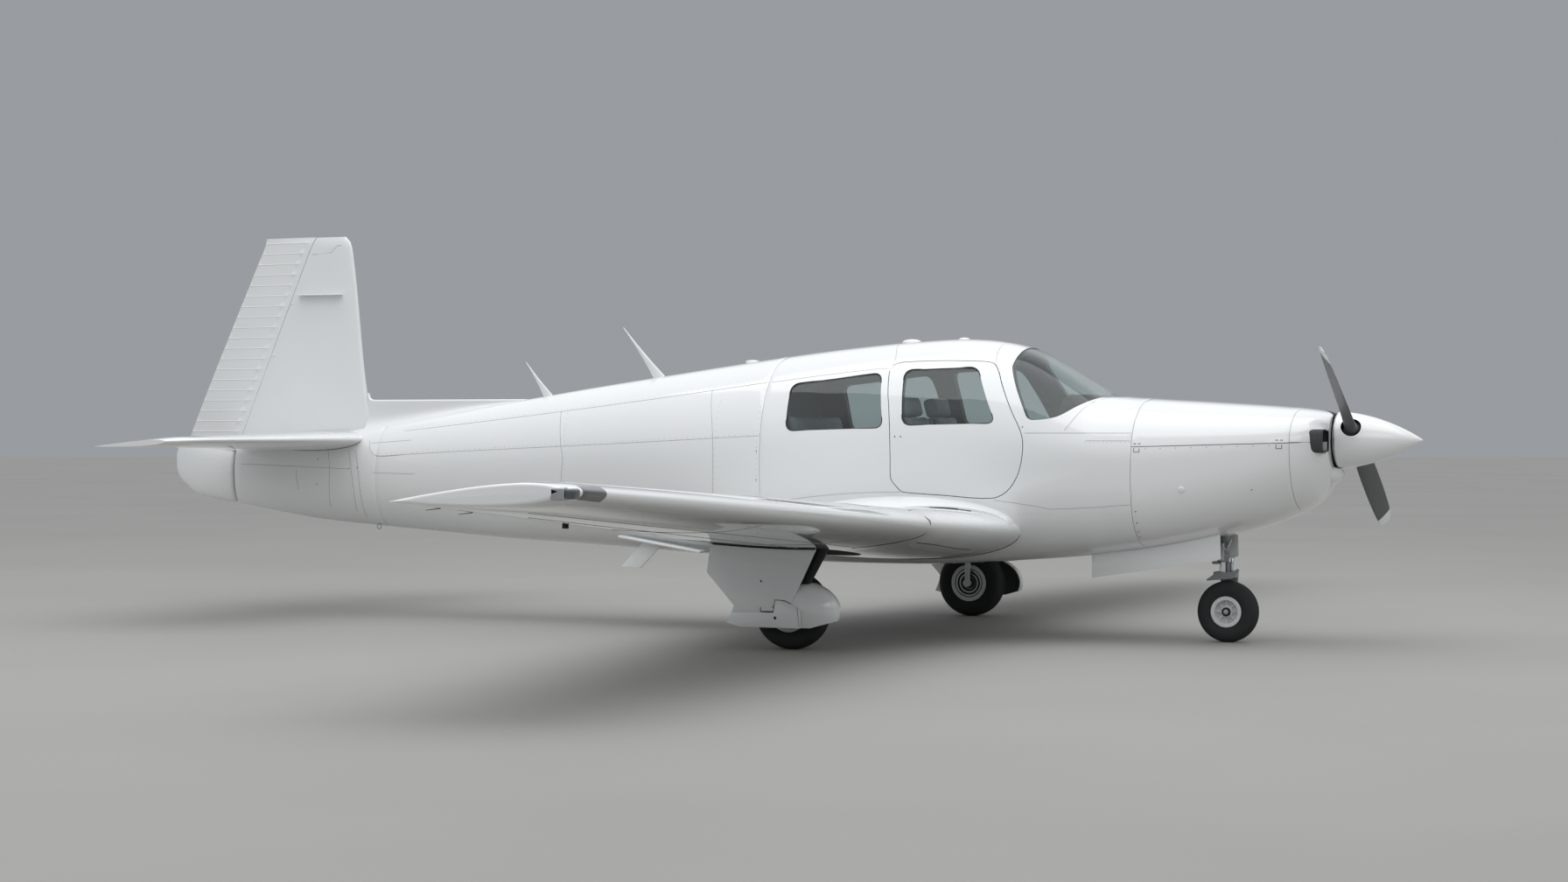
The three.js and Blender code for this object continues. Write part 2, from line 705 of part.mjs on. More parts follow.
const HINGE_R = 8
const HINGE_BORE_R = 9
const HINGE_REACH = 34
function hingePins([start, end], radius, spare) {
  const from = new THREE.Vector3(...start.point)
  const to = new THREE.Vector3(...end.point)
  const axis = to.clone().sub(from).normalize()
  const ends = [[from, 1], [to, -1]]
  return ends.map(([point, inward]) => rod(
    point.clone().addScaledVector(axis, -inward * (RUN_GAP + 14)).toArray(),
    point.clone().addScaledVector(axis, inward * (HINGE_REACH + spare)).toArray(),
    radius,
    radius,
    8,
  ))
}

const FOIL_POINTS = 18
const wingBlank = loft(WING, FOIL_POINTS, wingPoint)
const flapLine = wingHinge(FLAP_Y, FLAP_HINGE)
const aileronLine = wingHinge(AILERON_Y, AILERON_HINGE)

function surface(panel, line, aft) {
  return cut(panel.intersect(hingedRegion(line, 0, aft)), ...hingePins(line, HINGE_BORE_R, 4))
}

const flap = surface(wingBlank, flapLine, 700)
const aileron = surface(wingBlank, aileronLine, 500)

const JACK_PAD = { x: 60, y: 2100, half: 40, z: 588, deep: 40 }
const wingPanel = joined(
  cut(
    wingBlank,
    hingedRegion(flapLine, RUN_GAP, 700),
    hingedRegion(aileronLine, RUN_GAP, 500),
  ),
  ...hingePins(flapLine, HINGE_R, 0),
  ...hingePins(aileronLine, HINGE_R, 0),
  box(
    JACK_PAD.x - JACK_PAD.half, JACK_PAD.x + JACK_PAD.half,
    -JACK_PAD.y - JACK_PAD.half, -JACK_PAD.y + JACK_PAD.half,
    JACK_PAD.z, JACK_PAD.z + JACK_PAD.deep,
  ),
)

// Tailplane
const tailBlank = loft(STABILIZER, FOIL_POINTS, wingPoint)
const elevatorLine = ELEVATOR_Y.map((y) => ({
  point: [ELEVATOR_X, -y, ELEVATOR_Z],
  radius: NOSE_ROUND * halfThickness((ELEVATOR_X + 3600) / -1000) * (y < 1000 ? 113 : 62),
}))
const elevator = surface(tailBlank, elevatorLine, 500)
const finBlank = cut(loft(FIN, FOIL_POINTS, finPoint), wholeFuselage)
const stabilizer = joined(
  cut(tailBlank, hingedRegion(elevatorLine, RUN_GAP, 500)),
  ...hingePins(elevatorLine, HINGE_R, 0),
)

// Fin and rudder
// The hinge line runs on below the tailplane, so that the region reaches the rudder's foot
function onRudderLine(z) {
  const lean = (RUDDER_TOP[0] - RUDDER_FOOT[0]) / (RUDDER_TOP[1] - RUDDER_FOOT[1])
  return [RUDDER_FOOT[0] + lean * (z - RUDDER_FOOT[1]), 0, z]
}
const rudderLine = [
  { point: onRudderLine(850), radius: 50 },
  { point: onRudderLine(RUDDER_TOP[1]), radius: 32 },
]
const LOWER_RUDDER = [
  // x, top, bottom, half, waist, upper, lower
  [-4668, 1080, 735, 16, 905, 2, 2],
  [-4676, 1096, 722, 36, 905, 2, 2],
  [-4700, 1104, 716, 50, 905, 2, 2],
  [-4807, 1104, 729, 44, 905, 2, 2],
  [-4993, 1104, 768, 28, 915, 2, 2],
  [-5100, 1098, 838, 16, 940, 2, 2],
  [-5150, 1080, 892, 8, 960, 2, 2],
  [-5165, 1040, 932, 4, 985, 2, 2],
]
// The rudder hangs on lugs that reach from the fin to the hinge line, each in a slot of its nose
const LUG_HEIGHTS = [1420, 2180]
const LUG_HALF_WIDTH = 8
const LUG_HALF_HEIGHT = 10
const LUG_TIP = 6             // how far a lug reaches past the hinge line
const SLOT_R = 56             // a little more than the nose's largest radius
const rudderFoot = new THREE.Vector3(...onRudderLine(RUDDER_FOOT[1]))
const rudderUp = new THREE.Vector3(...onRudderLine(RUDDER_TOP[1])).sub(rudderFoot).normalize()
const rudderAhead = new THREE.Vector3(rudderUp.z, 0, -rudderUp.x)
function nearLug(z, ahead, up) {
  return new THREE.Vector3(...onRudderLine(z)).addScaledVector(rudderAhead, ahead).addScaledVector(rudderUp, up)
}
const lugs = LUG_HEIGHTS.map((z) => sidePrism(
  [
    [SLOT_R + 40, -LUG_HALF_HEIGHT], [SLOT_R + 40, LUG_HALF_HEIGHT],
    [-LUG_TIP, LUG_HALF_HEIGHT], [-LUG_TIP, -LUG_HALF_HEIGHT],
  ].map(([ahead, up]) => nearLug(z, ahead, up)).map(({ x, z: height }) => [x, height]),
  -LUG_HALF_WIDTH,
  LUG_HALF_WIDTH,
))
const slots = LUG_HEIGHTS.map((z) => rod(
  nearLug(z, 0, -LUG_HALF_HEIGHT - SEAT_GAP).toArray(),
  nearLug(z, 0, LUG_HALF_HEIGHT + SEAT_GAP).toArray(),
  SLOT_R,
  SLOT_R,
  20,
))
const rudder = joined(
  cut(finBlank.intersect(hingedRegion(rudderLine, 0, 900, 200)), ...slots),
  loft(LOWER_RUDDER, 20, (section, angle) => fuselagePoint(section, angle, 0)),
)
const coneShell = cut(
  fuselage(CONE_END_X, TAIL_SPLIT_X - SEAT_GAP, 0),
  fuselage(CONE_END_X + 25, TAIL_SPLIT_X + 10, TAIL_WALL),
  hingedRegion(rudderLine, RUN_GAP, 900, 200),
)
const fin = joined(
  cut(finBlank, hingedRegion(rudderLine, RUN_GAP, 900, 200)),
  cut(dorsal(FIN_BASE_X - 100, TAIL_SPLIT_X - SEAT_GAP), wholeFuselage),
  ...lugs,
)

// Landing gear
function wheelProfile(rimR, width, boreR) {
  const half = width / 2
  return [
    [boreR, -half * 0.8], [rimR * 0.45, -half * 0.8], [rimR * 0.55, -half * 0.45], [rimR * 0.82, -half * 0.45],
    [rimR * 0.88, -half * 0.85], [rimR, -half * 0.85], [rimR, half * 0.85], [rimR * 0.88, half * 0.85],
    [rimR * 0.82, half * 0.45], [rimR * 0.55, half * 0.45], [rimR * 0.45, half * 0.8], [boreR, half * 0.8],
    [boreR, -half * 0.8],
  ]
}

function tyreProfile(rimR, outerR, width) {
  const half = width / 2
  const inner = rimR + SEAT_GAP
  const wall = outerR - inner
  const outline = [[inner, -half * 0.72]]
  const steps = 8
  for (let i = 0; i <= steps; i += 1) {
    const angle = -Math.PI / 2 + (Math.PI * i) / steps
    outline.push([
      inner + wall * (0.42 + 0.58 * Math.abs(Math.cos(angle)) ** 0.8),
      half * signedPower(Math.sin(angle), 0.75),
    ])
  }
  outline.push([inner, half * 0.72])
  outline.push([inner, -half * 0.72])
  return outline
}

const AXLE_BORE_R = 21
const AXLE_R = 20
const onFlat = Math.cos(Math.PI / TYRE_FACETS)
const MAIN_Z = MAIN_TYRE_R * onFlat
const NOSE_Z = NOSE_TYRE_R * onFlat

function atY(body, y) {
  const shape = geometryOf(body)
  shape.translate(0, y, 0)
  return solid(shape)
}

const mainWheel = turned(wheelProfile(MAIN_RIM_R, MAIN_TYRE_W, AXLE_BORE_R), 0, MAIN_Z, 16)
const mainTyre = turned(tyreProfile(MAIN_RIM_R + 1, MAIN_TYRE_R, MAIN_TYRE_W), 0, MAIN_Z, TYRE_FACETS)
const noseWheel = turned(wheelProfile(NOSE_RIM_R, NOSE_TYRE_W, AXLE_BORE_R), NOSE_WHEEL_X, NOSE_Z, 16)
const noseTyre = turned(tyreProfile(NOSE_RIM_R + 1, NOSE_TYRE_R, NOSE_TYRE_W), NOSE_WHEEL_X, NOSE_Z, TYRE_FACETS)

// Starboard main leg: a strut outboard of the wheel, its stub axle and the brake inboard
const LEG_Y = -TRACK_Y - MAIN_TYRE_W / 2 - 42
const LEG_TOP = [165, LEG_Y, 690]
const mainLeg = joined(
  rod(LEG_TOP, [60, LEG_Y, 300], 34, 30, 16),
  rod([60, LEG_Y, 320], [0, LEG_Y, MAIN_Z], 30, 30, 16),
  rod([0, LEG_Y - 20, MAIN_Z], [0, -TRACK_Y + 70, MAIN_Z], AXLE_R, AXLE_R, 16),
  rod([0, -TRACK_Y + 68, MAIN_Z], [0, -TRACK_Y + 80, MAIN_Z], 40, 40, 16),
)

// The wing lowered by the seat gap, which shapes the tops of the leg and the gear door
const wingSeat = loft(WING.map(([y, leX, teX, leZ, teZ, thick]) => (
  [y, leX, teX, leZ - SEAT_GAP, teZ - SEAT_GAP, thick]
)), FOIL_POINTS, wingPoint)

const GEAR_DOOR = [
  // x, z
  [-410, 640],
  [-440, 419],
  [-276, 241],
  [-316, 144],
  [-239, 128],
  [121, 128],
  [67, 259],
  [219, 568],
  [212, 640],
]
const GEAR_DOOR_Y = LEG_Y - 52
// The bulged fender ahead of and outboard of the wheel
const FENDER = { centre: [55, -1512, 215], semi: [258, 98, 170], foot: 134, inboard: -1452 }
const fenderBulge = new THREE.SphereGeometry(1, 14, 8)
fenderBulge.scale(...FENDER.semi)
fenderBulge.translate(...FENDER.centre)
const wheelRoom = rod([0, -TRACK_Y - MAIN_TYRE_W / 2 - 8, MAIN_Z], [0, -1300, MAIN_Z], MAIN_TYRE_R + 10, MAIN_TYRE_R + 10, 20)
const fender = cut(
  solid(fenderBulge),
  box(-400, 400, -1700, -1300, 0, FENDER.foot),
  box(-400, 400, FENDER.inboard, -1300, 0, 500),
  box(-400, -24, -1700, -1300, 0, 500),
  wheelRoom,
  rod([0, GEAR_DOOR_Y + 14, MAIN_Z], [0, -1500, MAIN_Z], 90, 90, 16),
)
const mainGearDoor = cut(
  joined(
    sidePrism(GEAR_DOOR, GEAR_DOOR_Y - 7, GEAR_DOOR_Y + 7),
    box(46, 92, GEAR_DOOR_Y, LEG_Y - 20, 400, 424),
    fender,
  ),
  rod([60, LEG_Y, 320], [0, LEG_Y, MAIN_Z], 30 + SEAT_GAP, 30 + SEAT_GAP, 16),
  rod(LEG_TOP, [60, LEG_Y, 300], 34 + SEAT_GAP, 30 + SEAT_GAP, 16),
)

// Nose gear
const noseLeg = cut(
  joined(
    rod([STEER_X, 0, 640], [STEER_X, 0, 430], 34, 30, 20),
    rod([STEER_X - 250, 0, 640], [STEER_X, 0, 470], 18, 18, 12),
  ),
  wholeFuselage,
)
const FORK_Y = NOSE_TYRE_W / 2 + 26
const noseFork = joined(
  rod([STEER_X, 0, 430 - SEAT_GAP], [STEER_X, 0, 372], 30, 30, 20),
  sidePrism([[1985, 360], [2100, 360], [2100, 400], [1985, 400]], -40, FORK_Y + 12),
  sidePrism([
    [1985, 400], [2040, NOSE_Z - 24], [2086, NOSE_Z - 24], [2100, 400],
  ], FORK_Y - 12, FORK_Y + 12),
  rod([NOSE_WHEEL_X, FORK_Y, NOSE_Z], [NOSE_WHEEL_X, -NOSE_TYRE_W / 2 + 8, NOSE_Z], AXLE_R, AXLE_R, 16),
  rod([NOSE_WHEEL_X, -NOSE_TYRE_W / 2 + 9, NOSE_Z], [NOSE_WHEEL_X, -NOSE_TYRE_W / 2 + 1, NOSE_Z], 30, 30, 12),
)

const NOSE_DOOR_Y = 200
const noseGearDoor = sidePrism(
  [[1322, 357], [2050, 468], [2072, 480], [2068, 640], [1322, 540]],
  -NOSE_DOOR_Y - 6,
  -NOSE_DOOR_Y + 6,
)

// Boarding step behind the starboard wing root
const boardingStep = cut(
  joined(
    sidePrism([[-1602, 546], [-1050, 462], [-1050, 474], [-1598, 560]], -430, -290),
    sidePrism([[-1614, 366], [-1480, 362], [-1330, 512], [-1450, 532]], -367, -353),
  ),
  wholeFuselage,
)

// The aircraft
const aircraft = new THREE.Group()
aircraft.position.x = MID_LENGTH

function place(name, body, finish) {
  const mesh = new THREE.Mesh(geometryOf(body), new THREE.MeshStandardMaterial(finish))
  mesh.name = name
  aircraft.add(mesh)
}

// A starboard body and its mirror image; each is cut by the neighbour that it rests on
function placePair(name, body, finish, ...neighbours) {
  place(`${name}_right`, cut(body, ...neighbours), finish)
  place(`${name}_left`, cut(toPort(body), ...neighbours), finish)
}

place('nose_bowl', noseBowl, white)
place('cowl_upper', cowl.intersect(aboveSplit), white)
place('cowl_lower', cowl.intersect(belowSplit), white)
place('firewall', firewall, bare)
place('engine_block', engineBlock, dark)
place('propeller', propeller, dark)
place('spinner', spinner, white)
place('cabin_shell', cabinShell, white)
place('cabin_floor', cabinFloor, cloth)
place('instrument_panel', instrumentPanel, dark)
place('seat_right', frontSeat(-1), cloth)
place('seat_left', frontSeat(1), cloth)
place('rear_seat', rearSeat, cloth)
place('cabin_door', cabinDoor, white)
place('door_glass', pane(DOOR_GLASS, -1), tinted)
place('windshield', windshield, tinted)
place('front_window_left', pane(DOOR_GLASS, 1), tinted)
place('rear_window_right', pane(REAR_GLASS, -1), tinted)
place('rear_window_left', pane(REAR_GLASS, 1), tinted)
place('tail_cone', tailCone, white)
place('empennage_cone', coneShell, white)
place('fin', fin, white)
place('rudder', rudder, white)
placePair('stabilizer', stabilizer, white, wholeFuselage)
placePair('elevator', elevator, white)
placePair('wing', wingPanel, white, wholeFuselage)
placePair('flap', flap, white)
placePair('aileron', aileron, white)
place('nose_leg', noseLeg, bare)
place('nose_fork', noseFork, bare)
place('nose_wheel', noseWheel, bare)
place('nose_tyre', noseTyre, rubber)
placePair('nose_gear_door', noseGearDoor, white, wholeFuselage)
placePair('main_leg', cut(mainLeg, wingSeat), bare)
placePair('main_wheel', atY(mainWheel, -TRACK_Y), bare)
placePair('main_tyre', atY(mainTyre, -TRACK_Y), rubber)
placePair('main_gear_door', cut(mainGearDoor, wingSeat), white)
place('boarding_step', boardingStep, white)

export default aircraft
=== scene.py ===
# The looks of a four-seat, low-wing light aircraft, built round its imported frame.
# Tables are in millimetres from the main axle: +X forward, +Y to port, +Z up. Every piece is made
# on the starboard side or about the centre line in those units, and finished() puts it in place.
import bisect
import json
import math
from math import acos, atan2, copysign, cos, exp, hypot, inf, pi, sin, sqrt, tau

import bmesh
import bpy
from mathutils import Matrix, Vector

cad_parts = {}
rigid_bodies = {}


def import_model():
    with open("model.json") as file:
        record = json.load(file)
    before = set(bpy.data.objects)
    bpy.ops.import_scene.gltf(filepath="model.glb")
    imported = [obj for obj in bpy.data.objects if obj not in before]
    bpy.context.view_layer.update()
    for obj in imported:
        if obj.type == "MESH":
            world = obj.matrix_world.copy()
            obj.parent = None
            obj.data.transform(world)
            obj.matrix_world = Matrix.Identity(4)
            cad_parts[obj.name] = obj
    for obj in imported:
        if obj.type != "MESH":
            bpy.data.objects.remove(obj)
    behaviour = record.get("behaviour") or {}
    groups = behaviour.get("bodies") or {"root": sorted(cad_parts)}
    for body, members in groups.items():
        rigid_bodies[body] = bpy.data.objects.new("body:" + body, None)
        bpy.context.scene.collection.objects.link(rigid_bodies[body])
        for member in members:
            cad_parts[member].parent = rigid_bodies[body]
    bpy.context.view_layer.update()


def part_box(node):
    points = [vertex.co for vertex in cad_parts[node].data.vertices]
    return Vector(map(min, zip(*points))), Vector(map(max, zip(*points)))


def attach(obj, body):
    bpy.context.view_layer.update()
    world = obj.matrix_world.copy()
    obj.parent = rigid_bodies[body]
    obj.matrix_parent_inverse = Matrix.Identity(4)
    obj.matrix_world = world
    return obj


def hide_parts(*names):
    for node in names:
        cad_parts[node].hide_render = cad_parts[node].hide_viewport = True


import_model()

MM = 0.001
wheel_low, wheel_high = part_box("main_wheel_right")
AXLE_X = (wheel_low.x + wheel_high.x) / 2   # metres from the frame's origin to the main axle
TO_FRAME = Matrix.Translation((AXLE_X, 0, 0)) @ Matrix.Scale(MM, 4)
TO_PORT = Matrix.Scale(-1, 4, (0, 1, 0))


def placed(name, data):
    made = bpy.data.objects.new(name, data)
    bpy.context.scene.collection.objects.link(made)
    return made


def meshed(bm, name="part"):
    mesh = bpy.data.meshes.new(name)
    bm.to_mesh(mesh)
    bm.free()
    return mesh


# Camera: the photograph's viewing angle, from the starboard quarter at eye level
FOCAL_PX = 3116
IMAGE_WIDTH_PX = 1792
SENSOR_MM = 36
CAMERA_AT = (7.039, -15.127, 1.23)          # metres in the frame
CAMERA_DOWN, CAMERA_TURN = 0.342, 23.97     # degrees under the horizon, and about the upright
FAR_CLIP = 400
camera_data = bpy.data.cameras.new("camera")
camera_data.sensor_width = SENSOR_MM
camera_data.lens = FOCAL_PX / IMAGE_WIDTH_PX * SENSOR_MM
camera_data.clip_end = FAR_CLIP
camera = placed("camera", camera_data)
camera.location = CAMERA_AT
camera.rotation_euler = (math.radians(90 - CAMERA_DOWN), 0, math.radians(CAMERA_TURN))
bpy.context.scene.camera = camera


# Section tables and the smooth curves through them
FUSELAGE = [
    # station, top, bottom, half width, waist height, upper and lower roundness (2 is an ellipse)
    (2690, 1276, 1004, 215, 1140, 2.2, 2.1),
    (2676, 1290, 948, 262, 1140, 2.3, 2.1),
    (2646, 1302, 872, 310, 1136, 2.3, 2.1),
    (2600, 1312, 806, 350, 1128, 2.3, 2.15),
    (2540, 1321, 762, 383, 1115, 2.3, 2.2),
    (2450, 1329, 717, 412, 1100, 2.35, 2.25),
    (2290, 1342, 655, 443, 1070, 2.4, 2.4),
    (2050, 1357, 594, 470, 1030, 2.45, 2.55),
    (1640, 1381, 520, 508, 975, 2.5, 2.8),
    (1480, 1393, 500, 520, 980, 2.5, 2.9),
    (1400, 1402, 490, 527, 985, 2.45, 3.0),
    (1290, 1468, 480, 535, 990, 2.35, 3.05),
    (1150, 1553, 466, 545, 995, 2.25, 3.1),
    (1020, 1626, 455, 553, 1000, 2.25, 3.15),
    (920, 1672, 447, 557, 1000, 2.25, 3.2),
    (780, 1708, 436, 560, 1000, 2.3, 3.2),
    (640, 1727, 427, 560, 1000, 2.35, 3.2),
    (500, 1734, 418, 560, 1000, 2.35, 3.2),
    (200, 1722, 407, 556, 1000, 2.35, 3.1),
    (-200, 1690, 404, 545, 995, 2.3, 3.0),
    (-620, 1644, 411, 520, 985, 2.25, 2.8),
    (-1000, 1596, 428, 485, 975, 2.15, 2.6),
    (-1500, 1529, 452, 430, 955, 2.1, 2.45),
    (-2000, 1460, 480, 370, 935, 2.05, 2.3),
    (-2500, 1385, 503, 308, 918, 2, 2.2),
    (-3000, 1311, 538, 248, 905, 2, 2.15),
    (-3480, 1238, 571, 190, 892, 2, 2.1),
    (-4000, 1176, 612, 132, 885, 2, 2),
    (-4400, 1138, 668, 92, 895, 2, 2),
    (-4660, 1116, 712, 64, 912, 2, 2),
]
WING = [
    # span station, leading and trailing edge, their heights, thickness over chord
    (300, 1030, -985, 622, 512, 0.135),
    (560, 980, -948, 640, 532, 0.145),
    (800, 925, -904, 656, 550, 0.146),
    (1100, 850, -850, 676, 573, 0.147),
    (1400, 808, -794, 695, 596, 0.146),
    (3400, 818, -428, 828, 750, 0.138),
    (5200, 826, -98, 945, 890, 0.13),
    (5400, 822, -62, 957, 905, 0.122),
    (5500, 770, -45, 962, 912, 0.11),
]
STABILIZER = [
    (66, -3620, -4660, 1138, 1098, 0.12),
    (1500, -3762, -4497, 1138, 1098, 0.09),
    (1700, -3800, -4472, 1136, 1098, 0.085),
    (1790, -3930, -4459, 1130, 1098, 0.06),
]
FIN = [
    # height, leading and trailing edge, thickness over chord
    (1060, -3560, -5098, 0.085),
    (1400, -3655, -4943, 0.085),
    (2300, -3762, -4507, 0.085),
    (2410, -3782, -4453, 0.083),
    (2457, -3822, -4440, 0.06),
]
BLADE = [
    # distance from the axis, chord, thickness, pitch in degrees
    (120, 84, 70, 62),
    (190, 92, 46, 57),
    (280, 104, 32, 52),
    (420, 112, 23, 48),
    (580, 114, 17, 45),
    (740, 110, 13, 42.5),
    (870, 100, 10, 40),
    (935, 84, 8, 39),
    (965, 46, 5, 38.5),
]


def ease(t):
    """Weights at t of a smooth span's start and end, and of its directions there."""
    return (1 + 2 * t) * (1 - t) ** 2, t * t * (3 - 2 * t), t * (1 - t) ** 2, t * t * (t - 1)


def curve_through(rows):
    """A function that gives the row at any station, each column on a curve that never overshoots."""
    rows = sorted(rows)
    keys = [row[0] for row in rows]
    steps = [after - before for before, after in zip(keys, keys[1:])]
    columns = []
    for values in list(zip(*rows))[1:]:
        rises = [(after - before) / step for before, after, step in zip(values, values[1:], steps)]
        slopes = [rises[0]]
        for before, after in zip(rises, rises[1:]):
            slopes.append(2 * before * after / (before + after) if before * after > 0 else 0.0)
        slopes.append(rises[-1])
        columns.append((values, slopes))

    def row_at(key):
        i = min(max(bisect.bisect_right(keys, key) - 1, 0), len(steps) - 1)
        t = min(max((key - keys[i]) / steps[i], 0.0), 1.0)
        start, end, leave, arrive = ease(t)
        return [
            start * values[i] + end * values[i + 1]
            + leave * steps[i] * slopes[i] + arrive * steps[i] * slopes[i + 1]
            for values, slopes in columns
        ]

    return row_at


fuselage_row = curve_through(FUSELAGE)
wing_row = curve_through(WING)
stabilizer_row = curve_through(STABILIZER)
fin_row = curve_through(FIN)
blade_row = curve_through(BLADE)


def spaced(start, end, step):
    """Values from start to end, evenly spaced and about a step apart."""
    count = max(1, round(abs(end - start) / step))
    return [start + (end - start) * i / count for i in range(count + 1)]


# Mesh tools
def faced_out(bm):
    bmesh.ops.recalc_face_normals(bm, faces=bm.faces)
    if bm.calc_volume(signed=True) < 0:
        bmesh.ops.reverse_faces(bm, faces=bm.faces)
    return bm


def moved(bm, matrix):
    bmesh.ops.transform(bm, matrix=matrix, verts=bm.verts)
    return bm


def turned_about(centre, radians, axis):
    return Matrix.Translation(centre) @ Matrix.Rotation(radians, 4, axis)


MERGE_GAP = 0.001     # points closer than this are one


def loft(stations, around, place):
    """A closed cylinder whose rings are pulled into place: place(station, angle) gives a point."""
    bm = bmesh.new()
    bmesh.ops.create_cone(bm, cap_ends=True, segments=around, radius1=1, radius2=1, depth=1)
    if len(stations) > 2:
        rises = [edge for edge in bm.edges if abs(edge.verts[0].co.z - edge.verts[1].co.z) > 0.5]
        bmesh.ops.subdivide_edges(bm, edges=rises, cuts=len(stations) - 2, use_grid_fill=True)
    for vert in bm.verts:
        ring = round((vert.co.z + 0.5) * (len(stations) - 1))
        vert.co = place(stations[ring], atan2(vert.co.x, vert.co.y))
    return faced_out(bm)


def prism(outline, low, high, place):
    """A closed prism: an outline of pairs carried from low to high; place(a, b, depth) gives a point."""
    bm = bmesh.new()
    face = bm.faces.new([bm.verts.new(place(a, b, low)) for a, b in outline])
    sides = bmesh.ops.extrude_face_region(bm, geom=[face])["geom"]
    far_verts = [part for part in sides if isinstance(part, bmesh.types.BMVert)]
    bmesh.ops.translate(bm, verts=far_verts, vec=place(0, 0, high) - place(0, 0, low))
    return faced_out(bm)


def side_prism(outline, y0, y1):
    return prism(outline, y0, y1, lambda x, z, y: Vector((x, y, z)))


def plan_prism(outline, z0, z1):
    return prism(outline, z0, z1, lambda x, y, z: Vector((x, y, z)))


def block(x0, x1, y0, y1, z0, z1, edge=0.0, segments=2):
    bm = bmesh.new()
    bmesh.ops.create_cube(bm, size=1)
    bmesh.ops.scale(bm, verts=bm.verts, vec=(x1 - x0, y1 - y0, z1 - z0))
    bmesh.ops.translate(bm, verts=bm.verts, vec=((x0 + x1) / 2, (y0 + y1) / 2, (z0 + z1) / 2))
    return softened(bm, edge, segments=segments)


def bevelled(bm, edges, offset, segments=2):
    bmesh.ops.bevel(
        bm, geom=edges, offset=offset, offset_type="OFFSET", segments=segments, profile=0.5, affect="EDGES",
        material=-1, clamp_overlap=True,
    )
    return bm


def softened(bm, edge, angle=40, segments=2):
    """Rounds every edge that is sharper than an angle in degrees."""
    if edge:
        sharp = [e for e in bm.edges if e.is_manifold and e.calc_face_angle() > math.radians(angle)]
        bevelled(bm, sharp, edge, segments)
    return bm


def rod(start, end, r0, r1=None, sides=32, edge=0.0):
    """A straight round bar, or a cone where the two radii differ."""
    start, end = Vector(start), Vector(end)
    along = end - start
    bm = bmesh.new()
    bmesh.ops.create_cone(
        bm, cap_ends=True, segments=sides, radius1=r0, radius2=r0 if r1 is None else r1, depth=along.length,
    )
    softened(bm, edge, 60)
    turn = along.to_track_quat("Z", "Y").to_matrix().to_4x4()
    return moved(bm, Matrix.Translation((start + end) / 2) @ turn)


def ellipsoid(centre, reach, around, rings):
    bm = bmesh.new()
    bmesh.ops.create_uvsphere(bm, u_segments=around, v_segments=rings, radius=1)
    bmesh.ops.scale(bm, verts=bm.verts, vec=reach)
    bmesh.ops.translate(bm, verts=bm.verts, vec=centre)
    return bm


def spun(profile, centre, axis, steps=96):
    """A body turned about an axis, from a closed or axis-to-axis profile of radius and place along it."""
    bm = bmesh.new()
    axis = Vector(axis)
    turn = axis.to_track_quat("Z", "Y").to_matrix()
    verts = [bm.verts.new(turn @ Vector((r, 0, along))) for r, along in profile]
    edges = [bm.edges.new(pair) for pair in zip(verts, verts[1:])]
    if profile[0][0] > 0:
        edges.append(bm.edges.new((verts[-1], verts[0])))
    bmesh.ops.spin(
        bm, geom=verts + edges, axis=axis, cent=(0, 0, 0), angle=tau, steps=steps, use_merge=True,
    )
    bmesh.ops.remove_doubles(bm, verts=bm.verts, dist=MERGE_GAP)
    bmesh.ops.translate(bm, verts=bm.verts, vec=centre)
    return faced_out(bm)


def scratch_object(bm):
    return placed("scratch", meshed(bm))


def evaluated(made):
    """The object's shape with its modifiers applied, as a bmesh; the object and its data are removed."""
    mesh = bpy.data.meshes.new_from_object(made.evaluated_get(bpy.context.evaluated_depsgraph_get()))
    bm = bmesh.new()
    bm.from_mesh(mesh)
    data = made.data
    bpy.data.objects.remove(made)
    bpy.data.batch_remove([mesh, data])
    return bm


def combined(body, tools, operation="DIFFERENCE"):
    """A closed body less some tools, or joined to them, or what they share."""
    for tool in tools:
        made, other = scratch_object(body), scratch_object(tool)
        modifier = made.modifiers.new("combine", "BOOLEAN")
        modifier.operation = operation
        modifier.solver = "MANIFOLD"
        modifier.object = other
        body = evaluated(made)
        bpy.data.objects.remove(other)
    return body


def cut(body, *tools):
    return combined(body, tools)


def joined(body, *tools):
    return combined(body, tools, "UNION")


def shared(body, *tools):
    return combined(body, tools, "INTERSECT")


def gathered(*parts):
    """Loose parts as one mesh, without joining their surfaces."""
    whole = bmesh.new()
    for part in parts:
        mesh = meshed(part)
        whole.from_mesh(mesh)
        bpy.data.meshes.remove(mesh)
    return whole


def mirrored(bm):
    twin = moved(bm.copy(), TO_PORT)
    bmesh.ops.reverse_faces(twin, faces=twin.faces)
    return twin


def painted(bm, index, chosen):
    for face in bm.faces:
        if chosen(face):
            face.material_index = index
    return bm


SEAM = "seam"


def scribed(bm, point, normal, chosen, half=2.6, depth=1.2, dark=1.0):
    """A panel seam where a plane meets the skin: three cuts close together, the middle one sunk."""
    layer = bm.verts.layers.float.get(SEAM) or bm.verts.layers.float.new(SEAM)
    normal = Vector(normal).normalized()
    for offset in (-half, half, 0.0):
        faces = [face for face in bm.faces if chosen(face)]
        geom = set(faces)
        for face in faces:
            geom.update(face.verts)
            geom.update(face.edges)
        made = bmesh.ops.bisect_plane(
            bm, geom=list(geom), dist=0.05, plane_co=Vector(point) + normal * offset, plane_no=normal,
        )["geom_cut"]
        if offset == 0.0:
            sunk = [part for part in made if isinstance(part, bmesh.types.BMVert)]
            bm.normal_update()
            for vert in sunk:
                vert.co -= vert.normal * depth
                vert[layer] = dark
    return bm


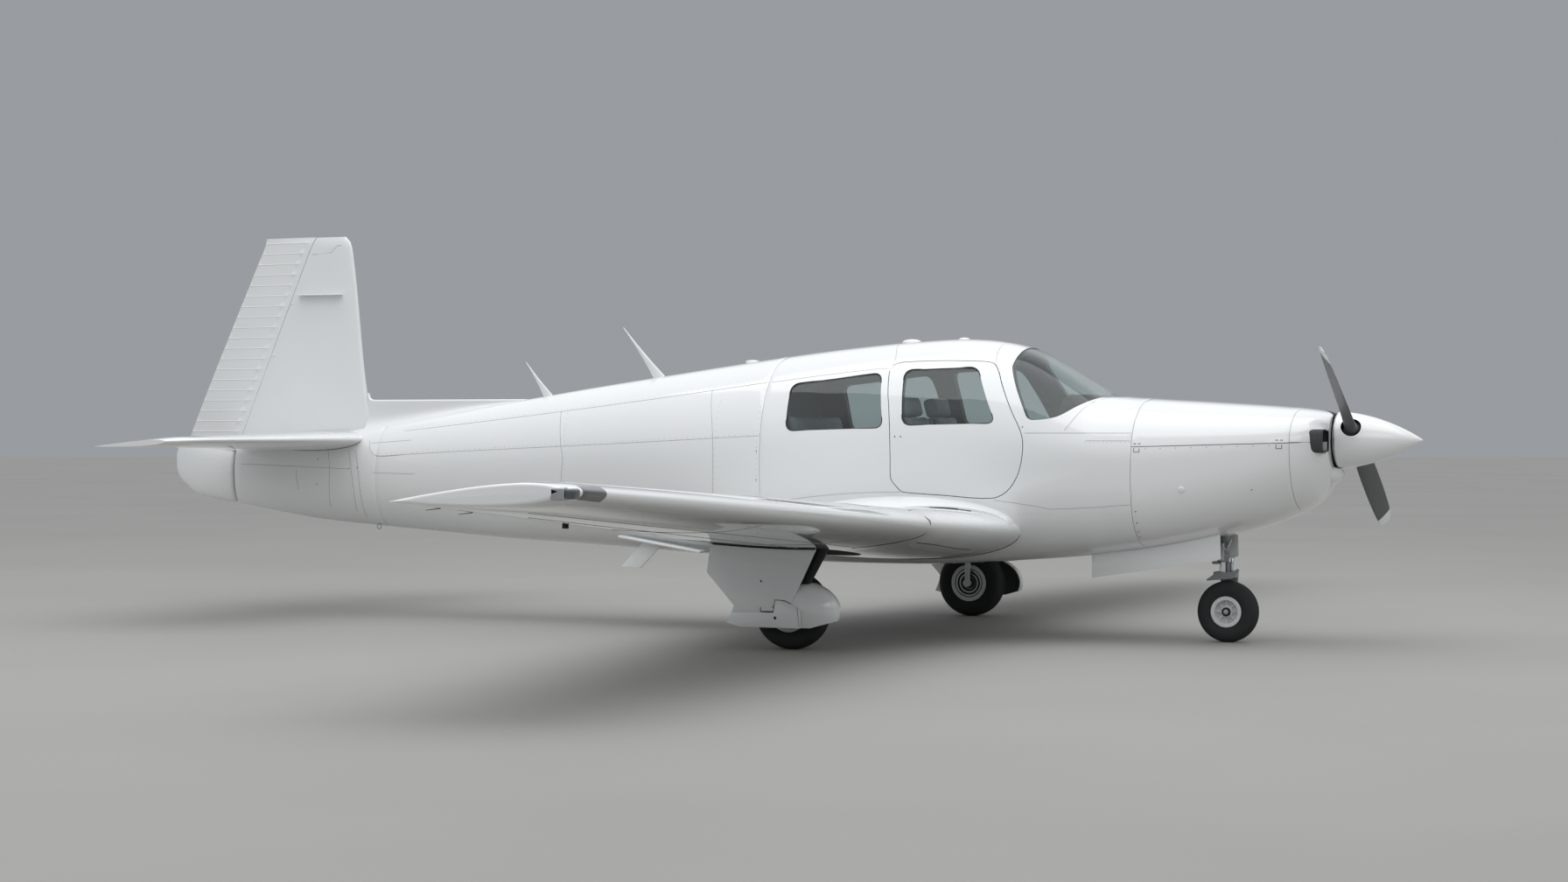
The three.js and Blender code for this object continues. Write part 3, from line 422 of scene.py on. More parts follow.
def tube(points, radius, detail=0, closed=False):
    """A bead that follows points, with four sides and two more for each step of detail."""
    curve = bpy.data.curves.new("tube", "CURVE")
    curve.dimensions = "3D"
    curve.bevel_depth = radius
    curve.bevel_resolution = detail
    curve.use_fill_caps = True
    spline = curve.splines.new("POLY")
    spline.points.add(len(points) - 1)
    for place, point in zip(spline.points, points):
        place.co = (*point, 1)
    spline.use_cyclic_u = closed
    bm = evaluated(placed("tube", curve))
    bmesh.ops.remove_doubles(bm, verts=bm.verts, dist=MERGE_GAP)
    return faced_out(bm)


def finished(bm, name, materials, *nodes, body="airframe", smooth=32):
    """Puts a piece in the frame, smooth between its sharp edges, riding on its body."""
    mesh = meshed(moved(bm, TO_FRAME), name)
    mesh.shade_smooth()
    mesh.set_sharp_from_angle(angle=math.radians(smooth))
    for material in materials if isinstance(materials, (list, tuple)) else [materials]:
        mesh.materials.append(material)
    made = placed(name, mesh)
    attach(made, body)
    if nodes:
        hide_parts(*nodes)
    return made


# Materials
def linear(hex_code):
    channels = [int(hex_code[i:i + 2], 16) / 255 for i in (1, 3, 5)]
    return (*[c / 12.92 if c <= 0.04045 else ((c + 0.055) / 1.055) ** 2.4 for c in channels], 1)


def add(tree, kind, links=None, **settings):
    """Adds a node with its settings, and feeds its inputs from sockets or constants."""
    made = tree.nodes.new(kind)
    for name, value in settings.items():
        setattr(made, name, value)
    for name, value in (links or {}).items():
        if isinstance(value, bpy.types.NodeSocket):
            tree.links.new(value, made.inputs[name])
        else:
            made.inputs[name].default_value = value
    return made


def new_material(name):
    material = bpy.data.materials.new(name)
    material.use_nodes = True
    tree = material.node_tree
    tree.nodes.clear()
    return material, tree


def surfaced(material, tree, shader):
    out = add(tree, "ShaderNodeOutputMaterial")
    tree.links.new(shader, out.inputs["Surface"])
    return material


def aircraft_paint(name, light, shade):
    """Sprayed two-pack polyurethane on sheet aluminium: a deep even gloss, slightly wavy over the
    panels, with a trace of grey in every seam."""
    material, tree = new_material(name)
    place = add(tree, "ShaderNodeTexCoord").outputs["Object"]
    cloud = add(tree, "ShaderNodeTexNoise", {"Vector": place, "Scale": 1.3, "Detail": 3.0}).outputs["Fac"]
    tone = add(tree, "ShaderNodeMix", {"Factor": cloud, 6: linear(light), 7: linear(shade)}, data_type="RGBA")
    seam = add(tree, "ShaderNodeAttribute", attribute_name=SEAM).outputs["Fac"]
    lined = add(
        tree, "ShaderNodeMix", {"Factor": seam, 6: tone.outputs[2], 7: linear("#6f7172")}, data_type="RGBA",
    )
    film = add(tree, "ShaderNodeTexNoise", {"Vector": place, "Scale": 5.0, "Detail": 4.0}).outputs["Fac"]
    rough = add(tree, "ShaderNodeMapRange", {"Value": film, "To Min": 0.08, "To Max": 0.16}).outputs["Result"]
    waves = add(tree, "ShaderNodeTexNoise", {"Vector": place, "Scale": 7.0, "Detail": 1.0}).outputs["Fac"]
    bump = add(
        tree, "ShaderNodeBump", {"Height": waves, "Strength": 0.25, "Distance": 0.0016},
    ).outputs["Normal"]
    shader = add(tree, "ShaderNodeBsdfPrincipled", {
        "Base Color": lined.outputs[2], "Roughness": rough, "Normal": bump, "IOR": 1.5,
        "Coat Weight": 1.0, "Coat Roughness": 0.025, "Coat IOR": 1.55,
    })
    return surfaced(material, tree, shader.outputs["BSDF"])


def plain_finish(name, light, shade, rough, metallic=0.0, grain=60.0, depth=0.0003, coat=0.0):
    """Two tones in a fine grain, with the roughness following the grain."""
    material, tree = new_material(name)
    place = add(tree, "ShaderNodeTexCoord").outputs["Object"]
    speck = add(tree, "ShaderNodeTexNoise", {"Vector": place, "Scale": grain, "Detail": 4.0}).outputs["Fac"]
    tone = add(tree, "ShaderNodeMix", {"Factor": speck, 6: linear(light), 7: linear(shade)}, data_type="RGBA")
    gloss = add(
        tree, "ShaderNodeMapRange", {"Value": speck, "To Min": rough[0], "To Max": rough[1]},
    ).outputs["Result"]
    bump = add(
        tree, "ShaderNodeBump", {"Height": speck, "Strength": 0.4, "Distance": depth},
    ).outputs["Normal"]
    shader = add(tree, "ShaderNodeBsdfPrincipled", {
        "Base Color": tone.outputs[2], "Roughness": gloss, "Normal": bump, "Metallic": metallic,
        "Coat Weight": coat,
    })
    return surfaced(material, tree, shader.outputs["BSDF"])


def tinted_acrylic():
    """Cast acrylic glazing, smoke tinted: the cabin shows darkened through a clear sky reflection."""
    material, tree = new_material("tinted_acrylic")
    place = add(tree, "ShaderNodeTexCoord").outputs["Object"]
    haze = add(tree, "ShaderNodeTexNoise", {"Vector": place, "Scale": 2.0, "Detail": 2.0}).outputs["Fac"]
    tint = add(
        tree, "ShaderNodeMix", {"Factor": haze, 6: linear("#f1f6f5"), 7: linear("#e8efee")}, data_type="RGBA",
    )
    clear = add(tree, "ShaderNodeBsdfTransparent", {"Color": tint.outputs[2]})
    gloss = add(tree, "ShaderNodeBsdfGlossy", {"Color": linear("#ffffff"), "Roughness": 0.03})
    glance = add(tree, "ShaderNodeLayerWeight", {"Blend": 0.5}).outputs["Facing"]
    rise = add(tree, "ShaderNodeMath", {0: glance, 1: 5.0}, operation="POWER").outputs["Value"]
    share = add(tree, "ShaderNodeMapRange", {"Value": rise, "To Min": 0.04, "To Max": 1.0}).outputs["Result"]
    both = add(tree, "ShaderNodeMixShader", {0: share, 1: clear.outputs["BSDF"], 2: gloss.outputs["BSDF"]})
    return surfaced(material, tree, both.outputs["Shader"])


def grained_leather():
    """Upholstery leather: a pebble of small cells with soft creases, and a dull wax shine."""
    material, tree = new_material("grey_upholstery_leather")
    place = add(tree, "ShaderNodeTexCoord").outputs["Object"]
    cells = add(tree, "ShaderNodeTexVoronoi", {"Vector": place, "Scale": 420.0}).outputs["Distance"]
    creases = add(tree, "ShaderNodeTexNoise", {"Vector": place, "Scale": 24.0, "Detail": 5.0}).outputs["Fac"]
    tone = add(
        tree, "ShaderNodeMix", {"Factor": creases, 6: linear("#95989a"), 7: linear("#828587")},
        data_type="RGBA",
    )
    rough = add(tree, "ShaderNodeMapRange", {"Value": cells, "To Min": 0.62, "To Max": 0.4}).outputs["Result"]
    fold = add(
        tree, "ShaderNodeBump", {"Height": creases, "Strength": 0.3, "Distance": 0.003},
    ).outputs["Normal"]
    bump = add(
        tree, "ShaderNodeBump", {"Height": cells, "Normal": fold, "Strength": 0.5, "Distance": 0.0006},
    ).outputs["Normal"]
    shader = add(tree, "ShaderNodeBsdfPrincipled", {
        "Base Color": tone.outputs[2], "Roughness": rough, "Normal": bump, "Sheen Weight": 0.15,
    })
    return surfaced(material, tree, shader.outputs["BSDF"])


seat_leather = grained_leather()
white_paint = aircraft_paint("gloss_white_polyurethane", "#eeefef", "#e6e8e8")
# Anodised and bare light alloy: pale grey metal with a fine satin grain
bare_alloy = plain_finish("satin_aluminium", "#c3c5c6", "#a9acae", (0.3, 0.45), metallic=1.0, grain=90)
# Polished hard chrome on the oleo's piston: mirror bright
hard_chrome = plain_finish("polished_chrome", "#e2e4e6", "#d4d7da", (0.05, 0.1), metallic=1.0, grain=20)
# Grey enamel on cast and welded steel: semi-gloss with a light orange peel
grey_enamel = plain_finish("grey_enamel_steel", "#8b8f91", "#7b7f81", (0.35, 0.5), grain=120, coat=0.2)
# Epoxy primer and road film on the inside of the gear: dull near-black. The same near-black is also painted
# shade: in the hinge gaps, inside the cowl, the spinner and the tail cone's end, on the bowl's face behind
# the spinner, and on the brake discs' recessed rings
dark_steel_and_painted_shade = plain_finish("dark_oiled_steel_and_painted_shade", "#2c2d2e", "#1d1e1f", (0.45, 0.65), metallic=0.3, grain=80)
# Matt dark grey erosion paint on forged aluminium blades, rubbed slightly shiny
blade_paint = plain_finish("matt_grey_blade_paint", "#606466", "#56595b", (0.4, 0.55), grain=50)
# White band at the blade tips
tip_paint = plain_finish("white_tip_paint", "#f6f7f7", "#eff0f0", (0.35, 0.5), grain=50)
# Moulded tyre rubber, black with a grey bloom
tyre_rubber = plain_finish("moulded_tyre_rubber", "#1b1c1d", "#262728", (0.7, 0.9), grain=160, depth=0.0006)
# Extruded black neoprene seal round glass and door
seal_rubber = plain_finish("neoprene_seal", "#2b2d2f", "#212325", (0.5, 0.7), grain=200)
# Grey vacuum-formed ABS cabin lining: fine pebbled grain
cabin_lining = plain_finish("pebbled_grey_abs", "#45494c", "#3c4043", (0.55, 0.7), grain=400)
# Matt black flocked glareshield
glare_black = plain_finish("flocked_black", "#1c1d1e", "#141515", (0.85, 1.0), grain=300)
# Cut-pile nylon carpet: mottled dark grey
carpet = plain_finish("nylon_carpet", "#4c4f52", "#3a3d40", (0.9, 1.0), grain=500, depth=0.002)
# Sand-cast engine alloy: dull mottled grey
cast_alloy = plain_finish("cast_crankcase_alloy", "#7d8184", "#63676a", (0.55, 0.75), metallic=0.7, grain=70)
# Etch primer inside the wells: flat grey-green. Inside the wheel fenders the same grey is painted shade
primer_grey_and_painted_shade = plain_finish("etch_primer_and_painted_shade", "#5d615c", "#4b4f4b", (0.7, 0.85), grain=90)
# Moulded fibreglass duct: flat dark grey
duct_grey = plain_finish("fibreglass_duct", "#414344", "#343637", (0.6, 0.8), grain=60)
# Wheel halves in sprayed white enamel: semi-gloss with brake dust in the grain. The same pale enamel also
# stands as painted light on the inlets' lower walls
wheel_paint_and_painted_light = plain_finish("white_enamel_magnesium_and_painted_light", "#dcdddd", "#c3c5c5", (0.35, 0.5), grain=25, coat=0.2)
# Semi-gloss crackle enamel on the instrument panel
panel_grey = plain_finish("crackle_enamel_panel", "#6c7072", "#5d6163", (0.5, 0.65), grain=350)
# Anodised black aluminium dial faces and radio plates
dial_face = plain_finish("black_anodised_plate", "#26282a", "#1e2022", (0.35, 0.5), grain=200)
# Sealant in the panel joints: dull mid grey. On the rivet heads the same grey is painted shade
seam_grey_and_rivet_shade = plain_finish("panel_seam_sealant_and_rivet_shade", "#93979a", "#83878a", (0.5, 0.65), grain=200)
# Moulded lamp lens: dark smoke, polished
lamp_glass = plain_finish("smoked_lamp_lens", "#4b5053", "#3c4144", (0.05, 0.1), grain=15, coat=1.0)
glass = tinted_acrylic()


# Fuselage skins
def signed_power(value, power):
    return copysign(abs(value) ** power, value)


def fuselage_point(station, angle, inset=0.0):
    top, bottom, half, waist, upper, lower = fuselage_row(station)
    rise = cos(angle)
    exponent = 2 / (upper if rise > 0 else lower)
    reach = (top - waist if rise > 0 else waist - bottom) - inset
    return Vector((
        station,
        (half - inset) * signed_power(sin(angle), exponent),
        waist + reach * signed_power(rise, exponent),
    ))


def skin_half(station, height, inset=0.0):
    """Half the width of the skin at a station and height."""
    top, bottom, half, waist, upper, lower = fuselage_row(station)
    above = height > waist
    reach = (top - waist if above else waist - bottom) - inset
    power = upper if above else lower
    part = min(1.0, abs(height - waist) / reach)
    return (half - inset) * (1 - part ** power) ** (1 / power)


SKIN_AROUND = 128
SKIN_STEP = 30
SEAM_GAP = 0.8      # half of the gap between two skins that meet
RIM_EDGE = 1.6      # rounding of a skin's edge at a seam
PAST_END = 10       # how far a cut runs past the end of what it opens
TAIL_WALL, TAIL_RIM = 10, 0.5


def rimmed(bm, x0, x1, rim):
    ends = [
        edge for edge in bm.edges
        if all(min(abs(vert.co.x - x0), abs(vert.co.x - x1)) < 0.01 for vert in edge.verts)
    ]
    return bevelled(bm, ends, rim)


def fuselage_solid(x0, x1, inset=0.0, rim=0.0, step=SKIN_STEP):
    bm = loft(spaced(x0, x1, step), SKIN_AROUND, lambda x, angle: fuselage_point(x, angle, inset))
    return rimmed(bm, x0, x1, rim) if rim else bm


def fuselage_shell(x0, x1, wall, open_back=True, step=SKIN_STEP, rim=RIM_EDGE):
    """A hollow section of the fuselage, open in front and, unless told otherwise, behind."""
    inner = fuselage_solid(x0 - PAST_END if open_back else x0 + wall, x1 + PAST_END, wall)
    return cut(fuselage_solid(x0, x1, 0, rim, step), inner)


def outer(face):
    """Whether a face of the fuselage's skin looks out, and not into the cabin or along the axis."""
    centre = face.calc_center_median()
    waist = fuselage_row(centre.x)[3]
    return face.normal.dot(Vector((0, centre.y, centre.z - waist))) > 0.02 and abs(face.normal.x) < 0.9


FIREWALL_X = 1640
BOWL_SEAM_X = 2505
BOWL_FRONT_X = 2680
CABIN_END_X = -620
TAIL_SPLIT_X, TAIL_GAP = -3480, 0.2
CONE_END_X = -4655
PROP_Z = 1145
SPINNER_R = 158
COWL_SPLIT = (1107, 1131)   # height at the firewall and at the bowl


SMOOTH_STEPS = 6


def smoothed(points, steps=SMOOTH_STEPS):
    """A closed ring of pairs as one flowing curve through all of them."""
    count = len(points)
    points = [Vector(point) for point in points]
    spans = [(points[(i + 1) % count] - points[i]).length for i in range(count)]
    tangents = [(points[(i + 1) % count] - points[i - 1]) / (spans[i] + spans[i - 1]) for i in range(count)]
    ring = []
    for i in range(count):
        after = (i + 1) % count
        for step in range(steps):
            w0, w1, w2, w3 = ease(step / steps)
            swing = spans[i] * (w2 * tangents[i] + w3 * tangents[after])
            ring.append(w0 * points[i] + w1 * points[after] + swing)
    return ring


def rounded(corners, radius, steps=6):
    """A closed ring of corners, each rounded off."""
    ring = []
    count = len(corners)
    for i, corner in enumerate(corners):
        corner = Vector(corner)
        before, after = Vector(corners[i - 1]) - corner, Vector(corners[(i + 1) % count]) - corner
        start, end = corner + before.normalized() * radius, corner + after.normalized() * radius
        for step in range(steps + 1):
            t = step / steps
            ring.append((1 - t) ** 2 * start + 2 * t * (1 - t) * corner + t * t * end)
    return ring


def grown(ring, distance):
    """A ring of pairs moved outwards; the ring turns from +x towards +z."""
    count = len(ring)
    wider = []
    for i, point in enumerate(ring):
        along = (ring[(i + 1) % count] - ring[i - 1]).normalized()
        wider.append(point + Vector((along.y, -along.x)) * distance)
    return wider


# Nose: bowl with its two cooling inlets, and the split cowling
INLET = [(202, 1082), (330, 1082), (339, 1140), (330, 1198), (202, 1198)]
INLET_ROUND = 22
RECESS_R = 122               # round recess behind the spinner
BOWL_WALL = 34
SHADOW_R, SHADOW_DEPTH = 163, 1.5    # shallow seat on the bowl's face behind the spinner, painted black as the shade of the gap
INLET_DENT = ((2636, -262, 1222), (74, 74, 44), 12)   # centre, reach and depth of the scoop over an inlet
DENT_WAY = Vector((0.55, 0.5, 0.67))    # the way the scoop is pressed, outboard on each side
BOWL_STEP, BOWL_AROUND, BOWL_RIM = 5, 224, 3.0
RECESS_X, AHEAD_X = 2640, 2760       # bottom of the recess, and clear in front of the bowl
DUCT_X, DUCT_GROWTH = (2548, 2676), (1.0, 7)    # ends, and the wall's two faces out from the inlet
BAFFLE = [(2556, 1084), (2560, 1084), (2556, 1196), (2552, 1196)]
BAFFLE_Y = (204, 326)
# A pale plate on the lower half of each inlet's inboard wall: painted light, lighter than the dark upper half
# because it faces the light from above
LIT_PATCH_X, LIT_PATCH_Y, LIT_PATCH_Z = (2560, 2670), (203.4, 208.4), (1086, 1136)
RECESS_PLATE_X, SHAFT_HOLE_R = (2632, 2636), 60
CHIN = {"centre": (2560, 0, 960), "reach": (160, 150, 79), "clear": 8, "edge": 2.5}


def inlet(side, growth=0.0, x0=BOWL_SEAM_X - 30, x1=BOWL_FRONT_X + 60):
    ring = [(side * y, z) for y, z in grown(rounded(INLET, INLET_ROUND, 8), growth)]
    return prism(ring, x0, x1, lambda y, z, x: Vector((x, y, z)))


def dented(bm, centre, reach, depth):
    """Presses a smooth hollow into a skin, on both sides of the aircraft."""
    for vert in bm.verts:
        x, y, z = vert.co
        off = ((x - centre[0]) / reach[0], (abs(y) - abs(centre[1])) / reach[1], (z - centre[2]) / reach[2])
        near = max(0.0, 1 - sum(part * part for part in off))
        vert.co -= Vector((DENT_WAY.x, copysign(DENT_WAY.y, y), DENT_WAY.z)) * depth * near * near
    return bm


def sunk(face, depth):
    centre = face.calc_center_median()
    return abs(centre.y) < skin_half(centre.x, centre.z, depth)


# Painted shade: the seat behind the spinner, and the bowl's walls more than 16 mm inside its skin round the
# inlets, are painted near-black
def shade_behind_spinner(face):
    centre = face.calc_center_median()
    if hypot(centre.y, centre.z - PROP_Z) < SHADOW_R + 1:
        return centre.x < BOWL_FRONT_X - SHADOW_DEPTH / 2
    return sunk(face, 16) and centre.x < BOWL_FRONT_X - 1


def nose_bowl():
    back = BOWL_SEAM_X + SEAM_GAP
    skin = dented(loft(spaced(back, BOWL_FRONT_X, BOWL_STEP), BOWL_AROUND, fuselage_point), *INLET_DENT)
    skin = rimmed(skin, back, BOWL_FRONT_X, BOWL_RIM)
    hollow = fuselage_solid(BOWL_SEAM_X - PAST_END, BOWL_FRONT_X - 18, BOWL_WALL)
    recess = rod((RECESS_X, 0, PROP_Z), (AHEAD_X, 0, PROP_Z), RECESS_R, sides=96)
    shadow = rod((BOWL_FRONT_X - SHADOW_DEPTH, 0, PROP_Z), (AHEAD_X, 0, PROP_Z), SHADOW_R, sides=128)
    bowl = cut(skin, hollow, recess, shadow, inlet(-1), inlet(1))
    split = (0, 0, COWL_SPLIT[1] + 2)
    scribed(bowl, split, (0, 0, 1), lambda face: outer(face) and abs(face.calc_center_median().y) > 280)
    return painted(bowl, 1, shade_behind_spinner)


finished(nose_bowl(), "nose_bowl_skin", [white_paint, dark_steel_and_painted_shade], "nose_bowl")


def on_side(side, reach):
    return sorted((side * reach[0], side * reach[1]))


def inlet_duct(side):
    inside, outside = DUCT_GROWTH
    duct = cut(inlet(side, outside, *DUCT_X), inlet(side, inside, 2500, 2700))
    return gathered(duct, side_prism(BAFFLE, *on_side(side, BAFFLE_Y)))


def recess_plate():
    back, front = RECESS_PLATE_X
    disc = rod((back, 0, PROP_Z), (front, 0, PROP_Z), RECESS_R + 20, sides=96)
    return cut(disc, rod((2600, 0, PROP_Z), (2700, 0, PROP_Z), SHAFT_HOLE_R, sides=64))


# Painted light: a pale plate that makes the inlet's lower wall lighter
def inlet_lit_patch(side):
    return block(*LIT_PATCH_X, *on_side(side, LIT_PATCH_Y), *LIT_PATCH_Z, 1.5)


finished(gathered(inlet_duct(-1), inlet_duct(1), recess_plate()), "inlet_ducts", duct_grey)
# The pale plates in the inlets are painted light, in the wheels' white enamel
finished(gathered(inlet_lit_patch(-1), inlet_lit_patch(1)), "inlet_lit_patches", wheel_paint_and_painted_light)


def chin_lip():
    lip = ellipsoid(CHIN["centre"], CHIN["reach"], 96, 64)
    room = rod((2300, 0, PROP_Z), (2900, 0, PROP_Z), SPINNER_R + CHIN["clear"], sides=128)
    return softened(cut(lip, room), CHIN["edge"], 35, 3)


finished(chin_lip(), "chin_lip", white_paint)


def split_height(x):
    part = (x - FIREWALL_X) / (BOWL_SEAM_X - FIREWALL_X)
    return COWL_SPLIT[0] + (COWL_SPLIT[1] - COWL_SPLIT[0]) * part


NOSE_WELL = {"x": (1326, 2064), "half": 184, "round": 40, "roof": 640}
COWL_WALL = 16
UNDER_BELLY = 300     # a height that is clear below the fuselage


def nose_well(growth=0.0, z0=UNDER_BELLY, z1=NOSE_WELL["roof"]):
    (x0, x1), half = NOSE_WELL["x"], NOSE_WELL["half"]
    ring = rounded([(x0, -half), (x1, -half), (x1, half), (x0, half)], NOSE_WELL["round"])
    return plan_prism(grown(ring, growth), z0, z1)


def cowl(upper):
    skin = fuselage_shell(FIREWALL_X + SEAM_GAP, BOWL_SEAM_X - SEAM_GAP, COWL_WALL)
    offset = SEAM_GAP if upper else -SEAM_GAP
    ends = [(x, split_height(x) + offset) for x in (FIREWALL_X - 30, BOWL_SEAM_X + 30)]
    far = 2200 if upper else 0
    outline = [ends[0], ends[1], (ends[1][0], far), (ends[0][0], far)]
    half = shared(skin, side_prism(outline, -900, 900))
    if not upper:
        half = cut(half, nose_well())
    # Painted shade: the cowl's faces more than 4 mm inside its skin are painted near-black
    return painted(half, 1, lambda face: sunk(face, 4))


finished(cowl(True), "cowl_upper_skin", [white_paint, dark_steel_and_painted_shade], "cowl_upper")
finished(cowl(False), "cowl_lower_skin", [white_paint, dark_steel_and_painted_shade], "cowl_lower")


def well_liner():
    shell = cut(nose_well(6, 440, 700), nose_well(3, UNDER_BELLY, 694))
    return shared(shell, fuselage_solid(1300, 2090, 18))


CYLINDER = {"x": (1900, 2150), "y": (100, 290), "z": 1120, "r": 66}
FINS = {"count": 14, "first": 112, "pitch": 11, "half": 1.5, "r": 84}
ROCKER_Y = (262, 300)
ROCKER_HALF = 70
CRANKSHAFT_R = 44


def cylinder(x, side):
    z = CYLINDER["z"]
    low, high = on_side(side, ROCKER_Y)
    near, far = CYLINDER["y"]
    barrel = rod((x, side * near, z), (x, side * far, z), CYLINDER["r"], sides=40)
    cover = block(x - ROCKER_HALF, x + ROCKER_HALF, low, high, z - ROCKER_HALF, z + ROCKER_HALF, 12)
    fins = []
    for i in range(FINS["count"]):
        y = side * (FINS["first"] + i * FINS["pitch"])
        fins.append(rod((x, y - FINS["half"], z), (x, y + FINS["half"], z), FINS["r"], sides=40))
    return gathered(barrel, *fins, cover)


def engine():
    case = block(1720, 2400, -110, 110, 1000, 1225, 24)
    shaft = rod((2380, 0, PROP_Z), (2690, 0, PROP_Z), CRANKSHAFT_R, sides=48)
    cylinders = [cylinder(x, side) for x in CYLINDER["x"] for side in (-1, 1)]
    sump = block(1760, 2300, -190, 190, 872, 930, 20)
    sump_neck = block(1780, 2200, -100, 100, 925, 1005, 12)
    return gathered(case, shaft, *cylinders, sump, sump_neck)


finished(engine(), "engine_detail", cast_alloy, "engine_block")
finished(well_liner(), "nose_gear_well", primer_grey_and_painted_shade)

# Propeller and spinner
PROP_X, PROP_RADIUS = 2785, 965
PROP_LEAN = math.radians(60)   # upper blade from the vertical, to starboard
SPINNER_BASE_X, SPINNER_TIP_X = 2700.3, 3157
SHANK_R, SHANK_HOLE_R = 42, 55
TIP_BAND = 88                    # length of the white band at a blade's tip, along its middle
TIP_SLANT = 0.15                 # how much longer it is towards the leading edge
SPINNER_WALL = 4
CLAMP_PLACES, CLAMP_WIDTH, CLAMP_R = (58, 96), 22, 53
BACK_PLATE = [(0, 2692), (140, 2692), (157, 2694), (157, 2699.9), (0, 2699.9)]    # radius and station
STARTER_RING = [(118, 2683), (139, 2683), (139, 2689), (124, 2689), (124, 2691), (118, 2691)]
TEETH = 96
BLADE_ROOT, BLADE_STEP = 120, 9
PROP_AXIS = (1, 0, 0)
hub = Vector((PROP_X, 0, PROP_Z))
blade_out = Vector((0, -sin(PROP_LEAN), cos(PROP_LEAN)))


def spinner_solid(inset, start):
    tip = SPINNER_TIP_X - inset * 2
    profile = [(0, start)]
    for i in range(49):
        x = start + (tip - start) * sin(pi / 2 * i / 48)
        along = min(1.0, max(0.0, (x - SPINNER_BASE_X) / (tip - SPINNER_BASE_X)))
        profile.append(((SPINNER_R - inset) * (1 - along ** 1.75) ** 0.92, x))
    profile[-1] = (0, tip)
    return spun(profile, (0, 0, PROP_Z), PROP_AXIS, 128)


def faces_the_axis(face):
    centre = face.calc_center_median()
    return centre.y * face.normal.y + (centre.z - PROP_Z) * face.normal.z < -1


def spinner():
    shell = cut(
        spinner_solid(0, SPINNER_BASE_X),
        spinner_solid(SPINNER_WALL, SPINNER_BASE_X - 5),
        rod(hub - blade_out * 260, hub + blade_out * 260, SHANK_HOLE_R, sides=64),
    )
    # Painted shade: the spinner's faces that look towards its axis, inside the shell, are painted near-black
    return painted(shell, 1, faces_the_axis)


finished(spinner(), "spinner_skin", [white_paint, dark_steel_and_painted_shade], "spinner", body="propeller")


def blade_point(distance, angle):
    """A point of an upright blade: round at the shank, an aerofoil with a flatter face further out."""
    chord, thick, pitch = blade_row(distance)
    spread = min(1.0, max(0.0, (distance - 150) / 170))
    along, across = sin(angle), cos(angle)
    across *= thick / 2 * (1 + 0.3 * spread * along) * (1 - 0.55 * spread if across < 0 else 1)
    along *= chord / 2
    sine, cosine = sin(math.radians(pitch)), cos(math.radians(pitch))
    return Vector((-along * sine + across * cosine, along * cosine + across * sine, distance))


def blade(upper):
    bm = loft(spaced(BLADE_ROOT, PROP_RADIUS, BLADE_STEP), 40, blade_point)
    start, slant = Vector((0, 0, PROP_RADIUS - TIP_BAND)), Vector((0, -TIP_SLANT, 1)).normalized()
    geom = bm.verts[:] + bm.edges[:] + bm.faces[:]
    bmesh.ops.bisect_plane(bm, geom=geom, dist=0.01, plane_co=start, plane_no=slant)
    painted(bm, 1, lambda face: (face.calc_center_median() - start).dot(slant) > 0)
    return moved(bm, turned_about(hub, PROP_LEAN + (0 if upper else pi), "X"))


def blade_hub():
    parts = [
        rod((2702, 0, PROP_Z), (2850, 0, PROP_Z), 62, 54, 48, 4),
        rod(hub - blade_out * 125, hub + blade_out * 125, SHANK_R, sides=64),
    ]
    for side in (-1, 1):
        for distance in CLAMP_PLACES:
            start = hub + blade_out * side * distance
            end = hub + blade_out * side * (distance + CLAMP_WIDTH)
            parts.append(rod(start, end, CLAMP_R, sides=64, edge=3))
    return gathered(*parts)


def back_plate():
    parts = [spun(profile, (0, 0, PROP_Z), PROP_AXIS, 128) for profile in (BACK_PLATE, STARTER_RING)]
    for i in range(TEETH):
        tooth = block(2684, 2688, -2.4, 2.4, 138, 144)
        parts.append(moved(tooth, turned_about((0, 0, PROP_Z), tau * i / TEETH, "X")))
    return gathered(*parts)


blades = gathered(blade(True), blade(False))
finished(blades, "propeller_blades", [blade_paint, tip_paint], "propeller", body="propeller")
finished(blade_hub(), "propeller_hub", dark_steel_and_painted_shade, body="propeller")
finished(back_plate(), "spinner_back_plate", bare_alloy, body="propeller")

# Cabin
DOOR = [
    # station, height, half width of the skin there, and the edge's lean forward and up per
    # millimetre that it runs inboard
    (227, 950, 554, 0.16, 0),
    (232, 917, 554, 0.14, 0),
    (265, 876, 554, 0.08, 0),
    (290, 851, 554, 0.05, 0),
    (312, 844, 554, 0.02, 0),
    (540, 830, 556, 0, 0),
    (840, 816, 552, 0, 0),
    (930, 855, 552, 0, 0),
    (995, 950, 553, 0, 0),
    (1022, 1080, 550, 0, 0),
    (1010, 1180, 542, 0, 0),
    (940, 1310, 512, 0, 0),
    (862, 1462, 436, 0, 0),
    (822, 1540, 380, 0, -0.2),
    (780, 1578, 344, 0, -0.3),
    (680, 1588, 344, 0, -0.3),
    (240, 1588, 350, 0.1, -0.3),
    (180, 1570, 360, 0.2, -0.3),
    (169, 1535, 398, 0.2, 0),
    (174, 1490, 440, 0.2, 0),
    (188, 1400, 490, 0.2, 0),
    (204, 1323, 516, 0.2, 0),
    (218, 1204, 542, 0.17, 0),
    (226, 1056, 554, 0.16, 0),
]
DOOR_GAP = 4
DOOR_GLASS = [(292, 1226), (856, 1238), (704, 1562), (258, 1548)]
REAR_GLASS = [(-452, 1193), (172, 1212), (118, 1533), (-460, 1470)]
GLASS_ROUND = 55
